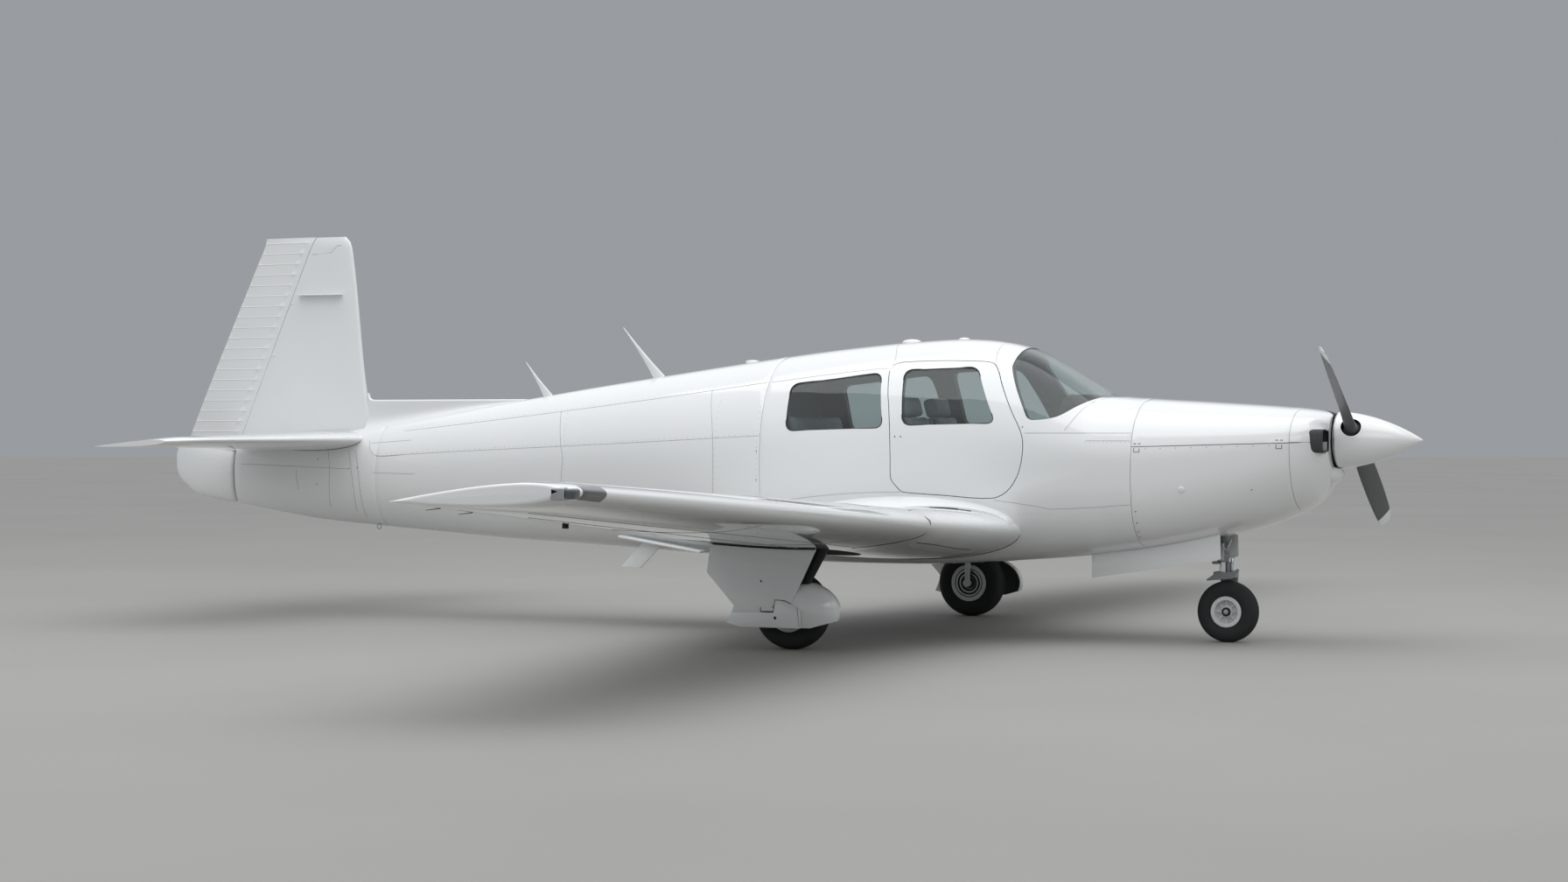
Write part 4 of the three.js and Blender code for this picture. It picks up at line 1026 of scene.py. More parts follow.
WINDSHIELD = [
    (905, 1740), (893, 1600), (897, 1553), (1020, 1300), (1040, 1268), (1075, 1256), (1204, 1276),
    (1313, 1343), (1385, 1384), (1500, 1404), (1500, 1740),
]
CABIN_WALL = 40
GLASS_DEPTH = 3
GLASS_THICK = 5
DOOR_REACH = (-760, -180)    # how far out and in the door's edge runs
WINDSHIELD_REACH = (-700, 700)
SEAL_R, SEAL_SUNK = 3.2, 1.5


def door_ring(y, growth):
    leaning = [(x + dx * (y + skin), z + dz * (y + skin)) for x, z, skin, dx, dz in DOOR]
    return grown(smoothed(leaning), growth)


def door_prism(growth):
    rings = {y: door_ring(y, growth) for y in DOOR_REACH}
    count = len(rings[DOOR_REACH[0]])

    def place(y, angle):
        point = rings[y][round(angle / tau * count) % count]
        return Vector((point.x, y, point.y))

    return loft(list(DOOR_REACH), count, place)


door_glass_ring = rounded(DOOR_GLASS, GLASS_ROUND)
rear_glass_ring = rounded(REAR_GLASS, GLASS_ROUND)
# The ring is smooth along the glass and straight where it closes above the roof
windshield_bend = smoothed(WINDSHIELD)[SMOOTH_STEPS:-2 * SMOOTH_STEPS]
windshield_ring = [Vector(WINDSHIELD[0]), *windshield_bend, Vector(WINDSHIELD[-1])]


def window_hole(ring, side, growth=0.0):
    reach = DOOR_REACH if side < 0 else (-DOOR_REACH[1], -DOOR_REACH[0])
    return side_prism(grown(ring, growth), *reach)


def cabin_wall():
    return fuselage_shell(CABIN_END_X + SEAM_GAP, FIREWALL_X - SEAM_GAP, CABIN_WALL)


def lined(bm):
    """The lining on every face that lies well inside the skin, and paint on the rest."""
    return painted(bm, 1, lambda face: sunk(face, 12))


def cabin():
    skin = cut(
        cabin_wall(),
        side_prism(windshield_ring, *WINDSHIELD_REACH),
        door_prism(DOOR_GAP),
        window_hole(rear_glass_ring, -1),
        window_hole(rear_glass_ring, 1),
        window_hole(door_glass_ring, 1),
        nose_well(0, UNDER_BELLY, 575),
    )
    return lined(skin)


finished(cabin(), "cabin_skin", [white_paint, cabin_lining], "cabin_shell")
door = cut(shared(cabin_wall(), door_prism(0)), window_hole(door_glass_ring, -1))
door = lined(softened(door, 0.8, 55, 1))
finished(door, "cabin_door_skin", [white_paint, cabin_lining], "cabin_door", body="cabin_door")
bulkhead = fuselage_solid(FIREWALL_X - 18, FIREWALL_X - 12, CABIN_WALL - 2)
finished(cut(bulkhead, nose_well(0, UNDER_BELLY, 600)), "firewall_sheet", bare_alloy, "firewall")
end_bulkhead = fuselage_solid(CABIN_END_X + 4, CABIN_END_X + 12, CABIN_WALL - 2)
finished(end_bulkhead, "baggage_bulkhead", cabin_lining)


def glazing():
    skin = fuselage_solid(CABIN_END_X + 40, FIREWALL_X - 40, GLASS_DEPTH)
    return cut(skin, fuselage_solid(CABIN_END_X, FIREWALL_X, GLASS_DEPTH + GLASS_THICK))


shield = shared(glazing(), side_prism(windshield_ring, *WINDSHIELD_REACH))
finished(shield, "windshield_glazing", glass, "windshield")
for name, ring, side, body, node in (
    ("door_window", door_glass_ring, -1, "cabin_door", "door_glass"),
    ("front_window_port", door_glass_ring, 1, "airframe", "front_window_left"),
    ("rear_window_starboard", rear_glass_ring, -1, "airframe", "rear_window_right"),
    ("rear_window_port", rear_glass_ring, 1, "airframe", "rear_window_left"),
):
    finished(shared(glazing(), window_hole(ring, side)), name, glass, node, body=body)
    edge = [Vector((x, side * skin_half(x, z, SEAL_SUNK), z)) for x, z in ring]
    finished(tube(edge, SEAL_R, 4, True), f"{name}_seal", seal_rubber, body=body)

# Cabin furnishing
FLOOR_TOP = 620
SEAT_Y = 235
PANEL_X = 1262               # the instrument panel's face, which looks aft
PANEL_OUTLINE = [(1262, 1004), (1494, 1004), (1494, 1330), (1262, 1330)]
GLARESHIELD = [
    (1192, 1306), (1200, 1300), (1494, 1330), (1494, 1352), (1340, 1344), (1200, 1322), (1192, 1316),
]
HOOD = {"x": (1196, 1520), "half": 205, "z": (1310, 1402), "round": 34}
PILOT_Y = 255                # distance of each yoke and hood from the middle
WALL_TO_WALL = (-600, 600)   # wider than the cabin, before the lining trims it
DIAL_R, DIAL_MARKS = 39, 12
DIALS = [
    # distance to port of the middle, height, share of the full dial size
    (130, 1252, 1.0), (215, 1252, 1.0), (300, 1252, 1.0), (385, 1240, 0.8),
    (130, 1165, 1.0), (215, 1165, 1.0), (300, 1165, 1.0), (385, 1165, 0.8),
    (-140, 1250, 0.8), (-215, 1250, 0.8), (-140, 1180, 0.8), (-215, 1180, 0.8), (-290, 1215, 0.8),
]


RADIO = {"count": 5, "top": 1262, "pitch": 50, "half": (80, 23), "knob_y": 64, "knob_drop": 8}
YOKE_X, YOKE_R, COLUMN_Z = 1092, 11, 1130
HORN = [
    # station, distance from the column, height: from the grip's end to the middle
    (1068, 128, 1208), (1076, 132, 1180), (1088, 128, 1144), (1092, 108, 1124), (1092, 60, 1122),
    (1092, 0, 1126),
]


def within_lining(bm, x0=CABIN_END_X + 30, x1=FIREWALL_X - 40):
    return shared(bm, fuselage_solid(x0, x1, CABIN_WALL + 2))


def clamped(way, most):
    """A vector, shortened where it is longer than most."""
    return way * min(1.0, most / way.length) if way.length > 0 else way


CUSHION_PRESSURE = 4.0
CLOTH_FRAMES, CLOTH_QUALITY = 20, 3
VOXEL = 6
SEAM_DEPTH, SEAM_SPREAD = 5.0, 7.0       # of the channels sewn into a cover
BOXING_SHARE, BOXING_SPREAD = 0.8, 4.0   # depth against a channel's, and spread, of the side seam


def swollen(bm, voxel, most):
    """A cushion cover blown up by a short cloth simulation; no point moves further than most."""
    made = scratch_object(bm)
    remesh = made.modifiers.new("remesh", "REMESH")
    remesh.mode = "VOXEL"
    remesh.voxel_size = voxel
    bm = evaluated(made)
    before = [vert.co.copy() for vert in bm.verts]
    made = scratch_object(bm)
    cloth = made.modifiers.new("cloth", "CLOTH")
    cloth.settings.use_pressure = True
    cloth.settings.uniform_pressure_force = CUSHION_PRESSURE
    cloth.settings.effector_weights.gravity = 0
    cloth.settings.quality = CLOTH_QUALITY
    cloth.point_cache.frame_end = CLOTH_FRAMES
    for step in range(1, CLOTH_FRAMES + 1):
        bpy.context.scene.frame_set(step)
    bm = evaluated(made)
    bpy.context.scene.frame_set(1)
    for vert, start in zip(bm.verts, before):
        vert.co = start + clamped(vert.co - start, most)
    return bm


def cushion(name, bm, lines, seam_z, place, *nodes, voxel=VOXEL, most=11):
    """A sewn cushion: swollen, then its channels and boxing seam pressed in; place stands it up."""
    bmesh.ops.scale(bm, vec=(MM, MM, MM), verts=bm.verts)
    bm = swollen(bm, voxel * MM, most * MM)
    bmesh.ops.scale(bm, vec=(1 / MM,) * 3, verts=bm.verts)
    bmesh.ops.smooth_vert(
        bm, verts=bm.verts, factor=0.5, use_axis_x=True, use_axis_y=True, use_axis_z=True,
    )
    bm.normal_update()
    for vert in bm.verts:
        face_up = max(0.0, vert.normal.z)
        off = min((abs(vert.co.y - line) for line in lines), default=inf)
        dip = face_up * exp(-(off / SEAM_SPREAD) ** 2)
        side = hypot(vert.normal.x, vert.normal.y)
        dip += BOXING_SHARE * side * exp(-((vert.co.z - seam_z) / BOXING_SPREAD) ** 2)
        vert.co -= vert.normal * SEAM_DEPTH * min(1.0, dip)
    made = finished(moved(bm, place), name, seat_leather, *nodes, smooth=180)
    return made


def pad(length, width, thick, round_edge=24):
    """An unfilled cushion lying flat on its back, its middle over the origin."""
    return block(0, length, -width / 2, width / 2, 0, thick, round_edge, 4)


def standing(x, y, z, lean):
    return turned_about((x, y, z), math.radians(-90 - lean), "Y")


def lying(x, y, z, lift):
    return turned_about((x, y, z), math.radians(-lift), "Y")


CHANNELS = (-68, 68)
REAR_CHANNELS = (-310, -155, 0, 155, 310)
FRONT_LEAN, REAR_LEAN = 15, 17.5
PAN_X, PAN_HALF, PAN_Z = (425, 822), 168, (772, 784)
RAIL_OFF, RAIL_TOP, RUNNER_TOP = 150, 634, 646      # of the two rails under a front seat
SEAT_LEGS = [((470, 640), (450, 776)), ((770, 640), (800, 776))]     # foot and head, station and height
SEAT_LEG_R = 11
SEAT_SHELL = [(352, 850), (364, 846), (262, 1262), (250, 1262)]      # side view of the moulded back
SEAT_SHELL_HALF = 180
LOCK_BAR, LOCK_BAR_R = (478, 706), 8                # the bar that frees the seat to slide
RISER_X, RISER_TOP = (-335, 86), 756
REAR_HALF, REAR_PAD_WIDTH = 380, 766


def seat_frame(y):
    parts = [block(*PAN_X, y - PAN_HALF, y + PAN_HALF, *PAN_Z, 5)]
    for rail in (y - RAIL_OFF, y + RAIL_OFF):
        parts += [
            block(420, 820, rail - 12, rail + 12, FLOOR_TOP + 1, RAIL_TOP, 2),
            block(430, 800, rail - 7, rail + 7, RAIL_TOP, RUNNER_TOP, 2),
        ]
        for (foot_x, foot_z), (head_x, head_z) in SEAT_LEGS:
            parts.append(rod((foot_x, rail, foot_z), (head_x, rail, head_z), SEAT_LEG_R, sides=24))
    back = side_prism(SEAT_SHELL, y - SEAT_SHELL_HALF, y + SEAT_SHELL_HALF)
    parts.append(softened(back, 5, 40, 3))
    x, z = LOCK_BAR
    parts.append(rod((x, y - RAIL_OFF, z), (x, y + RAIL_OFF, z), LOCK_BAR_R, sides=20))
    return gathered(*parts)


for y, hand in ((-SEAT_Y, "right"), (SEAT_Y, "left")):
    finished(seat_frame(y), f"seat_frame_{hand}", dark_steel_and_painted_shade)
    cushion(f"seat_cushion_{hand}", pad(430, 388, 92), CHANNELS, 62, lying(418, y, 792, 3), f"seat_{hand}")
    cushion(f"seat_back_{hand}", pad(392, 376, 84), CHANNELS, 50, standing(366, y, 908, FRONT_LEAN))
    cushion(f"headrest_{hand}", pad(112, 262, 78), (), 32, standing(266, y, 1286, FRONT_LEAN), most=8)
cushion(
    "rear_seat_cushion", pad(430, REAR_PAD_WIDTH, 92), REAR_CHANNELS, 62, lying(-340, 0, 762, 4),
    "rear_seat", voxel=8,
)
cushion(
    "rear_seat_back", pad(425, REAR_PAD_WIDTH, 84), REAR_CHANNELS, 50,
    standing(-352, 0, 888, REAR_LEAN), voxel=8,
)
riser = block(*RISER_X, -REAR_HALF, REAR_HALF, FLOOR_TOP + 1, RISER_TOP, 8, 3)
finished(riser, "rear_seat_riser", carpet)
floor_piece = within_lining(block(CABIN_END_X + 34, FIREWALL_X - 60, *WALL_TO_WALL, 592, FLOOR_TOP))
finished(floor_piece, "cabin_carpet", carpet, "cabin_floor")


def dial(y, z, size):
    r = DIAL_R * size
    place = turned_about((PANEL_X, y, z), math.radians(-90), "Y")
    bezel = spun([(r, -2), (r + 4, -2), (r + 4, 5), (r + 1, 7), (r, 5)], (0, 0, 0), (0, 0, 1), 48)
    face = spun([(0, 0), (r + 1, 0), (r + 1, 2), (0, 2)], (0, 0, 0), (0, 0, 1), 48)
    marks = []
    for i in range(DIAL_MARKS):
        mark = block(r * 0.74, r * 0.92, -0.9, 0.9, 2, 2.8)
        marks.append(moved(mark, Matrix.Rotation(tau * i / DIAL_MARKS, 4, "Z")))
    # Each pointer stands at an angle of its own, worked out from the dial's place
    pointer = moved(block(-r * 0.18, r * 0.66, -1.2, 1.2, 3, 4), Matrix.Rotation(y * 0.05 + z * 0.02, 4, "Z"))
    return [moved(part, place) for part in (bezel, face, gathered(*marks, pointer))]


def radio_stack():
    plates, knobs = [], []
    half_width, half_height = RADIO["half"]
    for i in range(RADIO["count"]):
        z = RADIO["top"] - i * RADIO["pitch"]
        plates.append(block(
            PANEL_X - 7, PANEL_X + 1, -half_width, half_width, z - half_height, z + half_height, 2,
        ))
        z -= RADIO["knob_drop"]
        for y in (-RADIO["knob_y"], RADIO["knob_y"]):
            knobs.append(rod((PANEL_X - 6, y, z), (PANEL_X - 22, y, z), 7, 6, 24, 1.5))
            knobs.append(rod((PANEL_X - 22, y, z), (PANEL_X - 28, y, z), 4, sides=20))
    return gathered(*plates), gathered(*knobs)


def yoke(y):
    starboard = [(x, y - off, z) for x, off, z in HORN]
    port = [(x, y + off, z) for x, off, z in reversed(HORN[:-1])]
    return gathered(
        rod((PANEL_X, y, COLUMN_Z), (YOKE_X, y, COLUMN_Z), YOKE_R, sides=24),
        tube(starboard + port, YOKE_R, 5),
        block(YOKE_X - 12, YOKE_X + 12, y - 34, y + 34, 1108, 1152, 9),
    )


dials = [dial(*row) for row in DIALS]
dial_finishes = {"bezels": glare_black, "faces": dial_face, "marks": tip_paint}
for (kind, material), parts in zip(dial_finishes.items(), zip(*dials)):
    finished(gathered(*parts), f"instrument_{kind}", material)
radios, radio_knobs = radio_stack()
finished(radios, "radio_plates", dial_face)
finished(radio_knobs, "radio_knobs", glare_black)
panel = within_lining(side_prism(PANEL_OUTLINE, *WALL_TO_WALL))
finished(panel, "instrument_panel_face", panel_grey, "instrument_panel")
shelf = side_prism(smoothed(GLARESHIELD, 4), *WALL_TO_WALL)
hoods = [
    block(*HOOD["x"], y - HOOD["half"], y + HOOD["half"], *HOOD["z"], HOOD["round"], 4)
    for y in (-PILOT_Y, PILOT_Y)
]
finished(within_lining(gathered(shelf, *hoods)), "glareshield", glare_black)
finished(gathered(yoke(-PILOT_Y), yoke(PILOT_Y)), "control_yokes", seal_rubber)


# Tail cone and its end, dorsal fin and aerials
def tail_cone():
    front = CABIN_END_X - SEAM_GAP
    return fuselage_shell(TAIL_SPLIT_X + TAIL_GAP, front, TAIL_WALL, False, 45, TAIL_RIM)


DORSAL = {"front": -2450, "back": -3650, "top": 1392, "half": 12, "flare": 62, "corner": 46}


def dorsal_point(x, angle):
    t, half, corner = abs(angle) / pi, DORSAL["half"], DORSAL["corner"]
    into_fin = min(corner, max(0.0, DORSAL["back"] + corner - x))
    top = DORSAL["top"] + corner - sqrt(corner ** 2 - into_fin ** 2)
    flare = min(DORSAL["flare"], (top - roof_point(x, 0).z) * 0.9 + 10)
    if t < 0.2:
        turn = t / 0.2 * pi / 2
        y, z = half * sin(turn), top - half * 0.8 * (1 - cos(turn))
    elif t < 0.8:
        s = (t - 0.2) / 0.6
        y = half + flare * s ** 3
        foot = roof_point(x, y).z - 1
        z = top - half * 0.8
        z += (foot - z) * (1 - (1 - s) ** 2)
    else:
        y = (half + flare) * (1 - (t - 0.8) / 0.2)
        z = roof_point(x, y).z - 12
    return Vector((x, copysign(y, angle), z))


def whip(base, tip, root_chord, tip_chord, half):
    root = Vector((base[0] + 8, 0, base[1] - 30))
    top = Vector((tip[0], 0, tip[1]))

    def place(t, angle):
        taper = 1 - t ** 6 * 0.6
        chord = (root_chord + (tip_chord - root_chord) * (1 - (1 - t) ** 2)) * taper
        across = half * (1 - t * 0.5) * taper
        return root.lerp(top, t) + Vector((chord / 2 * sin(angle), across * cos(angle), 0))

    return loft(spaced(0, 1, 0.025), 32, place)


def roof_point(x, y):
    top, _, half, waist, upper, _ = fuselage_row(x)
    return Vector((x, y, waist + (top - waist) * (1 - (abs(y) / half) ** upper) ** (1 / upper)))


PUCK_X = -900
PUCK = [(0, 1590), (44, 1596), (44, 1614), (40, 1620), (28, 1624), (0, 1626)]     # radius and height
ROOF_VENTS = [((142, 0, 1719), (60, 42, 20)), ((474, 0, 1730), (36, 30, 15))]     # centre and reach


def roof_parts():
    return gathered(
        whip((-1520, 1526), (-1786, 1836), 105, 14, 9),
        whip((-2305, 1414), (-2480, 1628), 90, 12, 8),
        spun(PUCK, (PUCK_X, 0, 0), (0, 0, 1), 48),
        *[ellipsoid(centre, reach, 48, 24) for centre, reach in ROOF_VENTS],
    )


finished(tail_cone(), "tail_cone_skin", white_paint, "tail_cone")
dorsal = loft(spaced(DORSAL["back"], DORSAL["front"], 12), 60, dorsal_point)
finished(dorsal, "dorsal_fin", white_paint)
finished(roof_parts(), "roof_aerials", white_paint)


# Seams, screws and rivets on the fuselage, as station and height on its side
SEAM_WIRE = 1.4
RIVET, SCREW = (2.4, 0.7), (4.5, 0.8)     # radius, and how far the head stands proud
SKIN_SEAMS = {
    "door_frame_seam": [(172, 1598), (170, 1620), (150, 1660), (118, 1703), (110, 1720)],
    "front_frame_seam": [(766, 1706), (774, 1665), (786, 1615), (804, 1574)],
    "roof_seam": [(-601, 1481), (-269, 1520), (61, 1553), (146, 1557)],
    "side_stringer": [(1034, 1183), (1632, 1183)],
    "short_stringer": [(1380, 1140), (1632, 1140)],
    "cowl_side_seam": [(1255, 1198), (1286, 1242), (1310, 1281), (1355, 1345), (1410, 1380), (1475, 1389)],
    "lower_longeron": [(-3480, 1027), (-2972, 1055), (-2300, 1086), (-1651, 1115), (-626, 1165)],
    "upper_longeron": [(-3300, 1190), (-3027, 1216), (-2228, 1297), (-1461, 1381), (-632, 1481)],
    "front_tail_frame": [(-1011, 1442), (-944, 1154), (-938, 842), (-960, 600)],
    "rear_tail_frame": [(-2091, 1313), (-2040, 1100), (-2021, 990), (-2049, 666)],
    "wing_fairing_seam": [(-900, 700), (-600, 765), (-289, 809), (-37, 832), (130, 840), (282, 843)],
    "front_fairing_seam": [
        (854, 803), (1013, 783), (1168, 758), (1181, 753), (1200, 756), (1433, 768), (1632, 785),
    ],
    "inspection_seam": [(-3216, 1132), (-3539, 1111)],
    "inspection_lower_seam": [(-3178, 1045), (-3450, 1028), (-3535, 1063), (-3560, 1130)],
    "cone_belly_seam": [(-3165, 917), (-3500, 921)],
    "cone_side_seam": [(-3700, 944), (-4163, 958), (-4595, 970)],
    "cone_front_frame": [(-3714, 1068), (-3679, 945), (-3660, 809), (-3659, 667)],
    "cone_second_frame": [(-3657, 1069), (-3620, 923), (-3603, 725), (-3599, 628)],
    "cone_third_frame": [(-3888, 1073), (-3857, 943), (-3870, 700)],
    "cone_short_frame": [(-4133, 935), (-4118, 804)],
}
# Rows of rivets: the points of the line and the distance between rivets
RIVET_ROWS = [
    ([(1028, 1183), (1632, 1183)], 24),
    ([(1380, 1132), (1632, 1132)], 24),
    ([(999, 728), (1177, 731)], 22),
    ([(-626, 1176), (-1651, 1127), (-2300, 1098), (-3400, 1046)], 40),
    ([(-640, 1493), (-1461, 1393), (-2228, 1309), (-3200, 1212)], 40),
    ([(-926, 1442), (-926, 1154), (-926, 842), (-946, 600)], 36),
    ([(-2040, 1300), (-2006, 990), (-2034, 666)], 36),
    ([(-3646, 1060), (-3612, 923), (-3595, 725)], 26),
    ([(-3728, 1060), (-3692, 945), (-3674, 690)], 26),
    ([(-640, 1440), (-640, 1000), (-640, 620)], 34),
]
# Screws that show as dark dots
SCREWS = [
    (1016, 1217), (1662, 746), (1660, 682), (1658, 632), (1656, 601), (2300, 872), (-3630, 952),
    (-3697, 947), (-3962, 843), (-3961, 1005), (-640, 905), (-640, 1075),
]


def flowing(points, step):
    """An open line of vectors as one smooth curve, with a point about every step."""
    points = [Vector(point) for point in points]
    ends = [points[0] * 2 - points[1], *points, points[-1] * 2 - points[-2]]
    line = []
    for before, start, end, after in zip(ends, ends[1:], ends[2:], ends[3:]):
        count = max(1, round((end - start).length / step))
        leave, arrive = (end - before) / 2, (after - start) / 2
        for i in range(count):
            w0, w1, w2, w3 = ease(i / count)
            line.append(w0 * start + w1 * end + w2 * leave + w3 * arrive)
    return [*line, points[-1]]


def skin_place(x, z, sink=0.0):
    return Vector((x, -skin_half(x, z, sink), z))


def skin_normal(x, z):
    along = skin_place(x + 4, z) - skin_place(x - 4, z)
    up = skin_place(x, z + 4) - skin_place(x, z - 4)
    return up.cross(along).normalized() * -1


def on_skin(x, z):
    return skin_place(x, z), skin_normal(x, z)


def skin_seam(points, step=14):
    return tube([skin_place(x, z, 0.4) for x, z in flowing(points, step)], SEAM_WIRE)


def studs(places, radius, proud, sides=8):
    bm = bmesh.new()
    for point, normal in places:
        turn = normal.to_track_quat("Z", "Y").to_matrix().to_4x4()
        bmesh.ops.create_cone(
            bm, cap_ends=True, segments=sides, radius1=radius, radius2=radius * 0.7, depth=proud * 2,
            matrix=Matrix.Translation(point) @ turn,
        )
    return bm


def fasteners():
    places = []
    for points, pitch in RIVET_ROWS:
        places += [on_skin(x, z) for x, z in flowing(points, pitch)]
    return studs(places, *RIVET)


def both_sides(bm):
    return gathered(mirrored(bm), bm)


seams = gathered(*[skin_seam(points) for points in SKIN_SEAMS.values()])
finished(both_sides(seams), "panel_seams", seam_grey_and_rivet_shade)
# Painted shade: the rivet heads are grey, standing in for the shade round them
finished(both_sides(fasteners()), "skin_rivets", seam_grey_and_rivet_shade)
door_lock = studs([on_skin(x, 1162) for x in (250, 286)], 5, 0.8, 16)
finished(door_lock, "door_lock", dark_steel_and_painted_shade, body="cabin_door")
screws = studs([on_skin(x, z) for x, z in SCREWS], *SCREW, 12)
finished(both_sides(screws), "panel_screws", dark_steel_and_painted_shade)


def cowl_latch(x, z, side_gap):
    corner = [(x - side_gap, z - 8), (x - side_gap, z - 30), (x + side_gap, z - 30), (x + side_gap, z - 10)]
    parts = [tube([skin_place(px, pz, 0.3) for px, pz in corner], 2.2)]
    for offset in (-0.8, 0.9):
        middle = x + offset * side_gap
        ends = [(middle - 7, z + 16), (middle + 7, z + 16)]
        parts.append(tube([skin_place(px, pz, 0.3) for px, pz in ends], 2.4))
    return gathered(*parts)


split_line = tube([skin_place(x, split_height(x)) for x in spaced(1645, 2560, 15)], 1.8)
finished(both_sides(split_line), "cowl_split_seam", dark_steel_and_painted_shade)
latches = gathered(cowl_latch(1672, split_height(1672), 15), cowl_latch(2452, split_height(2452), 15))
finished(both_sides(latches), "cowl_latches", dark_steel_and_painted_shade)
split_screws = [on_skin(x, split_height(x) - 13) for x in spaced(1720, 2400, 85)]
finished(both_sides(studs(split_screws, 4, 0.8, 12)), "cowl_screws", bare_alloy)
plug_place, plug_face = on_skin(1922, 871)
cowl_plug = rod(plug_place - plug_face * 3, plug_place + plug_face * 5, 19, 15, 48, 1.5)
finished(cowl_plug, "cowl_plug", white_paint)


# Lifting surfaces
def half_thickness(along):
    """Half the thickness of a round-nosed section along its chord, as a share of its whole thickness."""
    x = min(1.0, max(0.0, along))
    return 5 * (0.2969 * sqrt(x) - 0.126 * x - 0.3516 * x ** 2 + 0.2843 * x ** 3 - 0.1036 * x ** 4)


def foil_point(row, span, angle):
    """A point of a flat-lying surface; the angle runs from the leading edge over the top."""
    le_x, te_x, le_z, te_z, thick = row
    along = (1 - cos(angle)) / 2
    rise = copysign(half_thickness(along) * thick * (le_x - te_x), sin(angle))
    return Vector((le_x + (te_x - le_x) * along, -span, le_z + (te_z - le_z) * along + rise))


WING_TIP, TIP_ROUND = 5500, 12


def wing_point(span, angle):
    row = wing_row(span)
    into_tip = max(0.0, (span - WING_TIP + TIP_ROUND) / TIP_ROUND)
    shrunk = TIP_ROUND * (1 - sqrt(max(0.0, 1 - into_tip ** 2)))
    row[0] -= shrunk
    row[1] += shrunk
    point = foil_point(row, span, angle)
    camber = foil_point((*row[:4], 0.0), span, angle)
    rise = point.z - camber.z
    point.z = camber.z + copysign(max(abs(rise) - shrunk, abs(rise) * 0.3), rise)
    return point


def stabilizer_point(span, angle):
    return foil_point(stabilizer_row(span), span, angle)


def fin_point(height, angle):
    le_x, te_x, thick = fin_row(height)
    along = (1 - cos(angle)) / 2
    side = copysign(half_thickness(along) * thick * (le_x - te_x), sin(angle))
    return Vector((le_x + (te_x - le_x) * along, side, height))


FOIL_AROUND = 80
FLAP_HINGE, FLAP_Y = 0.84, (705, 3340)
AILERON_HINGE, AILERON_Y = 0.77, (3430, 5160)
ELEVATOR_X, ELEVATOR_Z, ELEVATOR_Y = -4225, 1114, (120, 1700)
NOSE_ROUND = 1.2
SURFACE_GAP = 5.0


def wing_hinge(spans, part):
    """Hinge line ends, each a point and the radius of the rounded nose there."""
    line = []
    for span in spans:
        le_x, te_x, le_z, te_z, thick = wing_row(span)
        point = Vector((le_x + (te_x - le_x) * part, -span, le_z + (te_z - le_z) * part))
        line.append((point, NOSE_ROUND * half_thickness(part) * thick * (le_x - te_x)))
    return line


def hinged_region(line, growth, aft, open_end=0.0):
    """All that lies aft of a hinge line between its ends, with a round nose about that line."""
    (start, r0), (end, r1) = line
    axis = (end - start).normalized()
    back = Vector((-1, 0, 0))
    back = (back - axis * back.dot(axis)).normalized()
    place = Matrix((back, axis, back.cross(axis))).transposed().to_4x4()
    place.translation = start
    span = (end - start).length + growth * 2 + open_end
    box = block(0, aft, -growth, span - growth, -600, 600)
    nose = rod(start - axis * growth, start + axis * (span - growth), r0 + growth, r1 + growth, 64)
    return joined(faced_out(moved(box, place)), nose)


WHEEL_WELL = [
    (-240, -1130), (-215, -1270), (-110, -1420), (40, -1560), (170, -1575), (235, -1500),
    (250, -1300), (242, -1060), (150, -860), (0, -800), (-150, -860),
]
WELL_DEPTH_Z = 742
WING_FLOOR = 14      # least thickness of the wing above the well
FLAP_REACH, TAIL_REACH = 700, 500     # further aft of a hinge line than its surface goes


def wheel_well(growth=0.0, z1=WELL_DEPTH_Z):
    ring = smoothed(WHEEL_WELL)[::-1]
    return plan_prism(grown(ring, -growth), 400, z1)


def wing_seat(drop):
    """The wing, lowered to trim what stands against it."""
    seat = wing_blank.copy()
    bmesh.ops.translate(seat, verts=seat.verts, vec=(0, 0, -drop))
    return seat


def in_gap(*lines):
    def chosen(face):
        centre = face.calc_center_median()
        for (start, r0), (end, r1) in lines:
            axis = end - start
            along = (centre - start).dot(axis) / axis.length_squared
            off = centre - start - axis * along
            reach = r0 + (r1 - r0) * along + SURFACE_GAP
            if -0.02 < along < 1.02 and abs(off.length - reach) < 2.5 and face.normal.dot(off) < 0:
                return True
        return False

    return chosen


SPAN_STEP = 50
TIP_STEPS = (0, 0.4, 0.7, 0.87, 0.96, 1)
tip_spans = [WING_TIP - TIP_ROUND * (1 - step) for step in TIP_STEPS]
wing_spans = [*spaced(300, 5450, SPAN_STEP), 5480, *tip_spans]
wing_blank = loft(wing_spans, FOIL_AROUND, wing_point)
flap_line = wing_hinge(FLAP_Y, FLAP_HINGE)
aileron_line = wing_hinge(AILERON_Y, AILERON_HINGE)


def in_wing_well(face):
    centre = face.calc_center_median()
    return -1590 < centre.y < -780 and -260 < centre.x < 260 and 560 < centre.z < WELL_DEPTH_Z + 1 and (
        abs(face.normal.z) < 0.5 or (face.normal.z < 0 and centre.z > 640)
    )


EDGE_LAMP = {"y": (-5396, -5188), "deep": 34}     # smoked lamp cover let into the leading edge


def in_edge_lamp(face):
    centre = face.calc_center_median()
    low, high = EDGE_LAMP["y"]
    return low < centre.y < high and centre.x > wing_row(-centre.y)[0] - EDGE_LAMP["deep"]


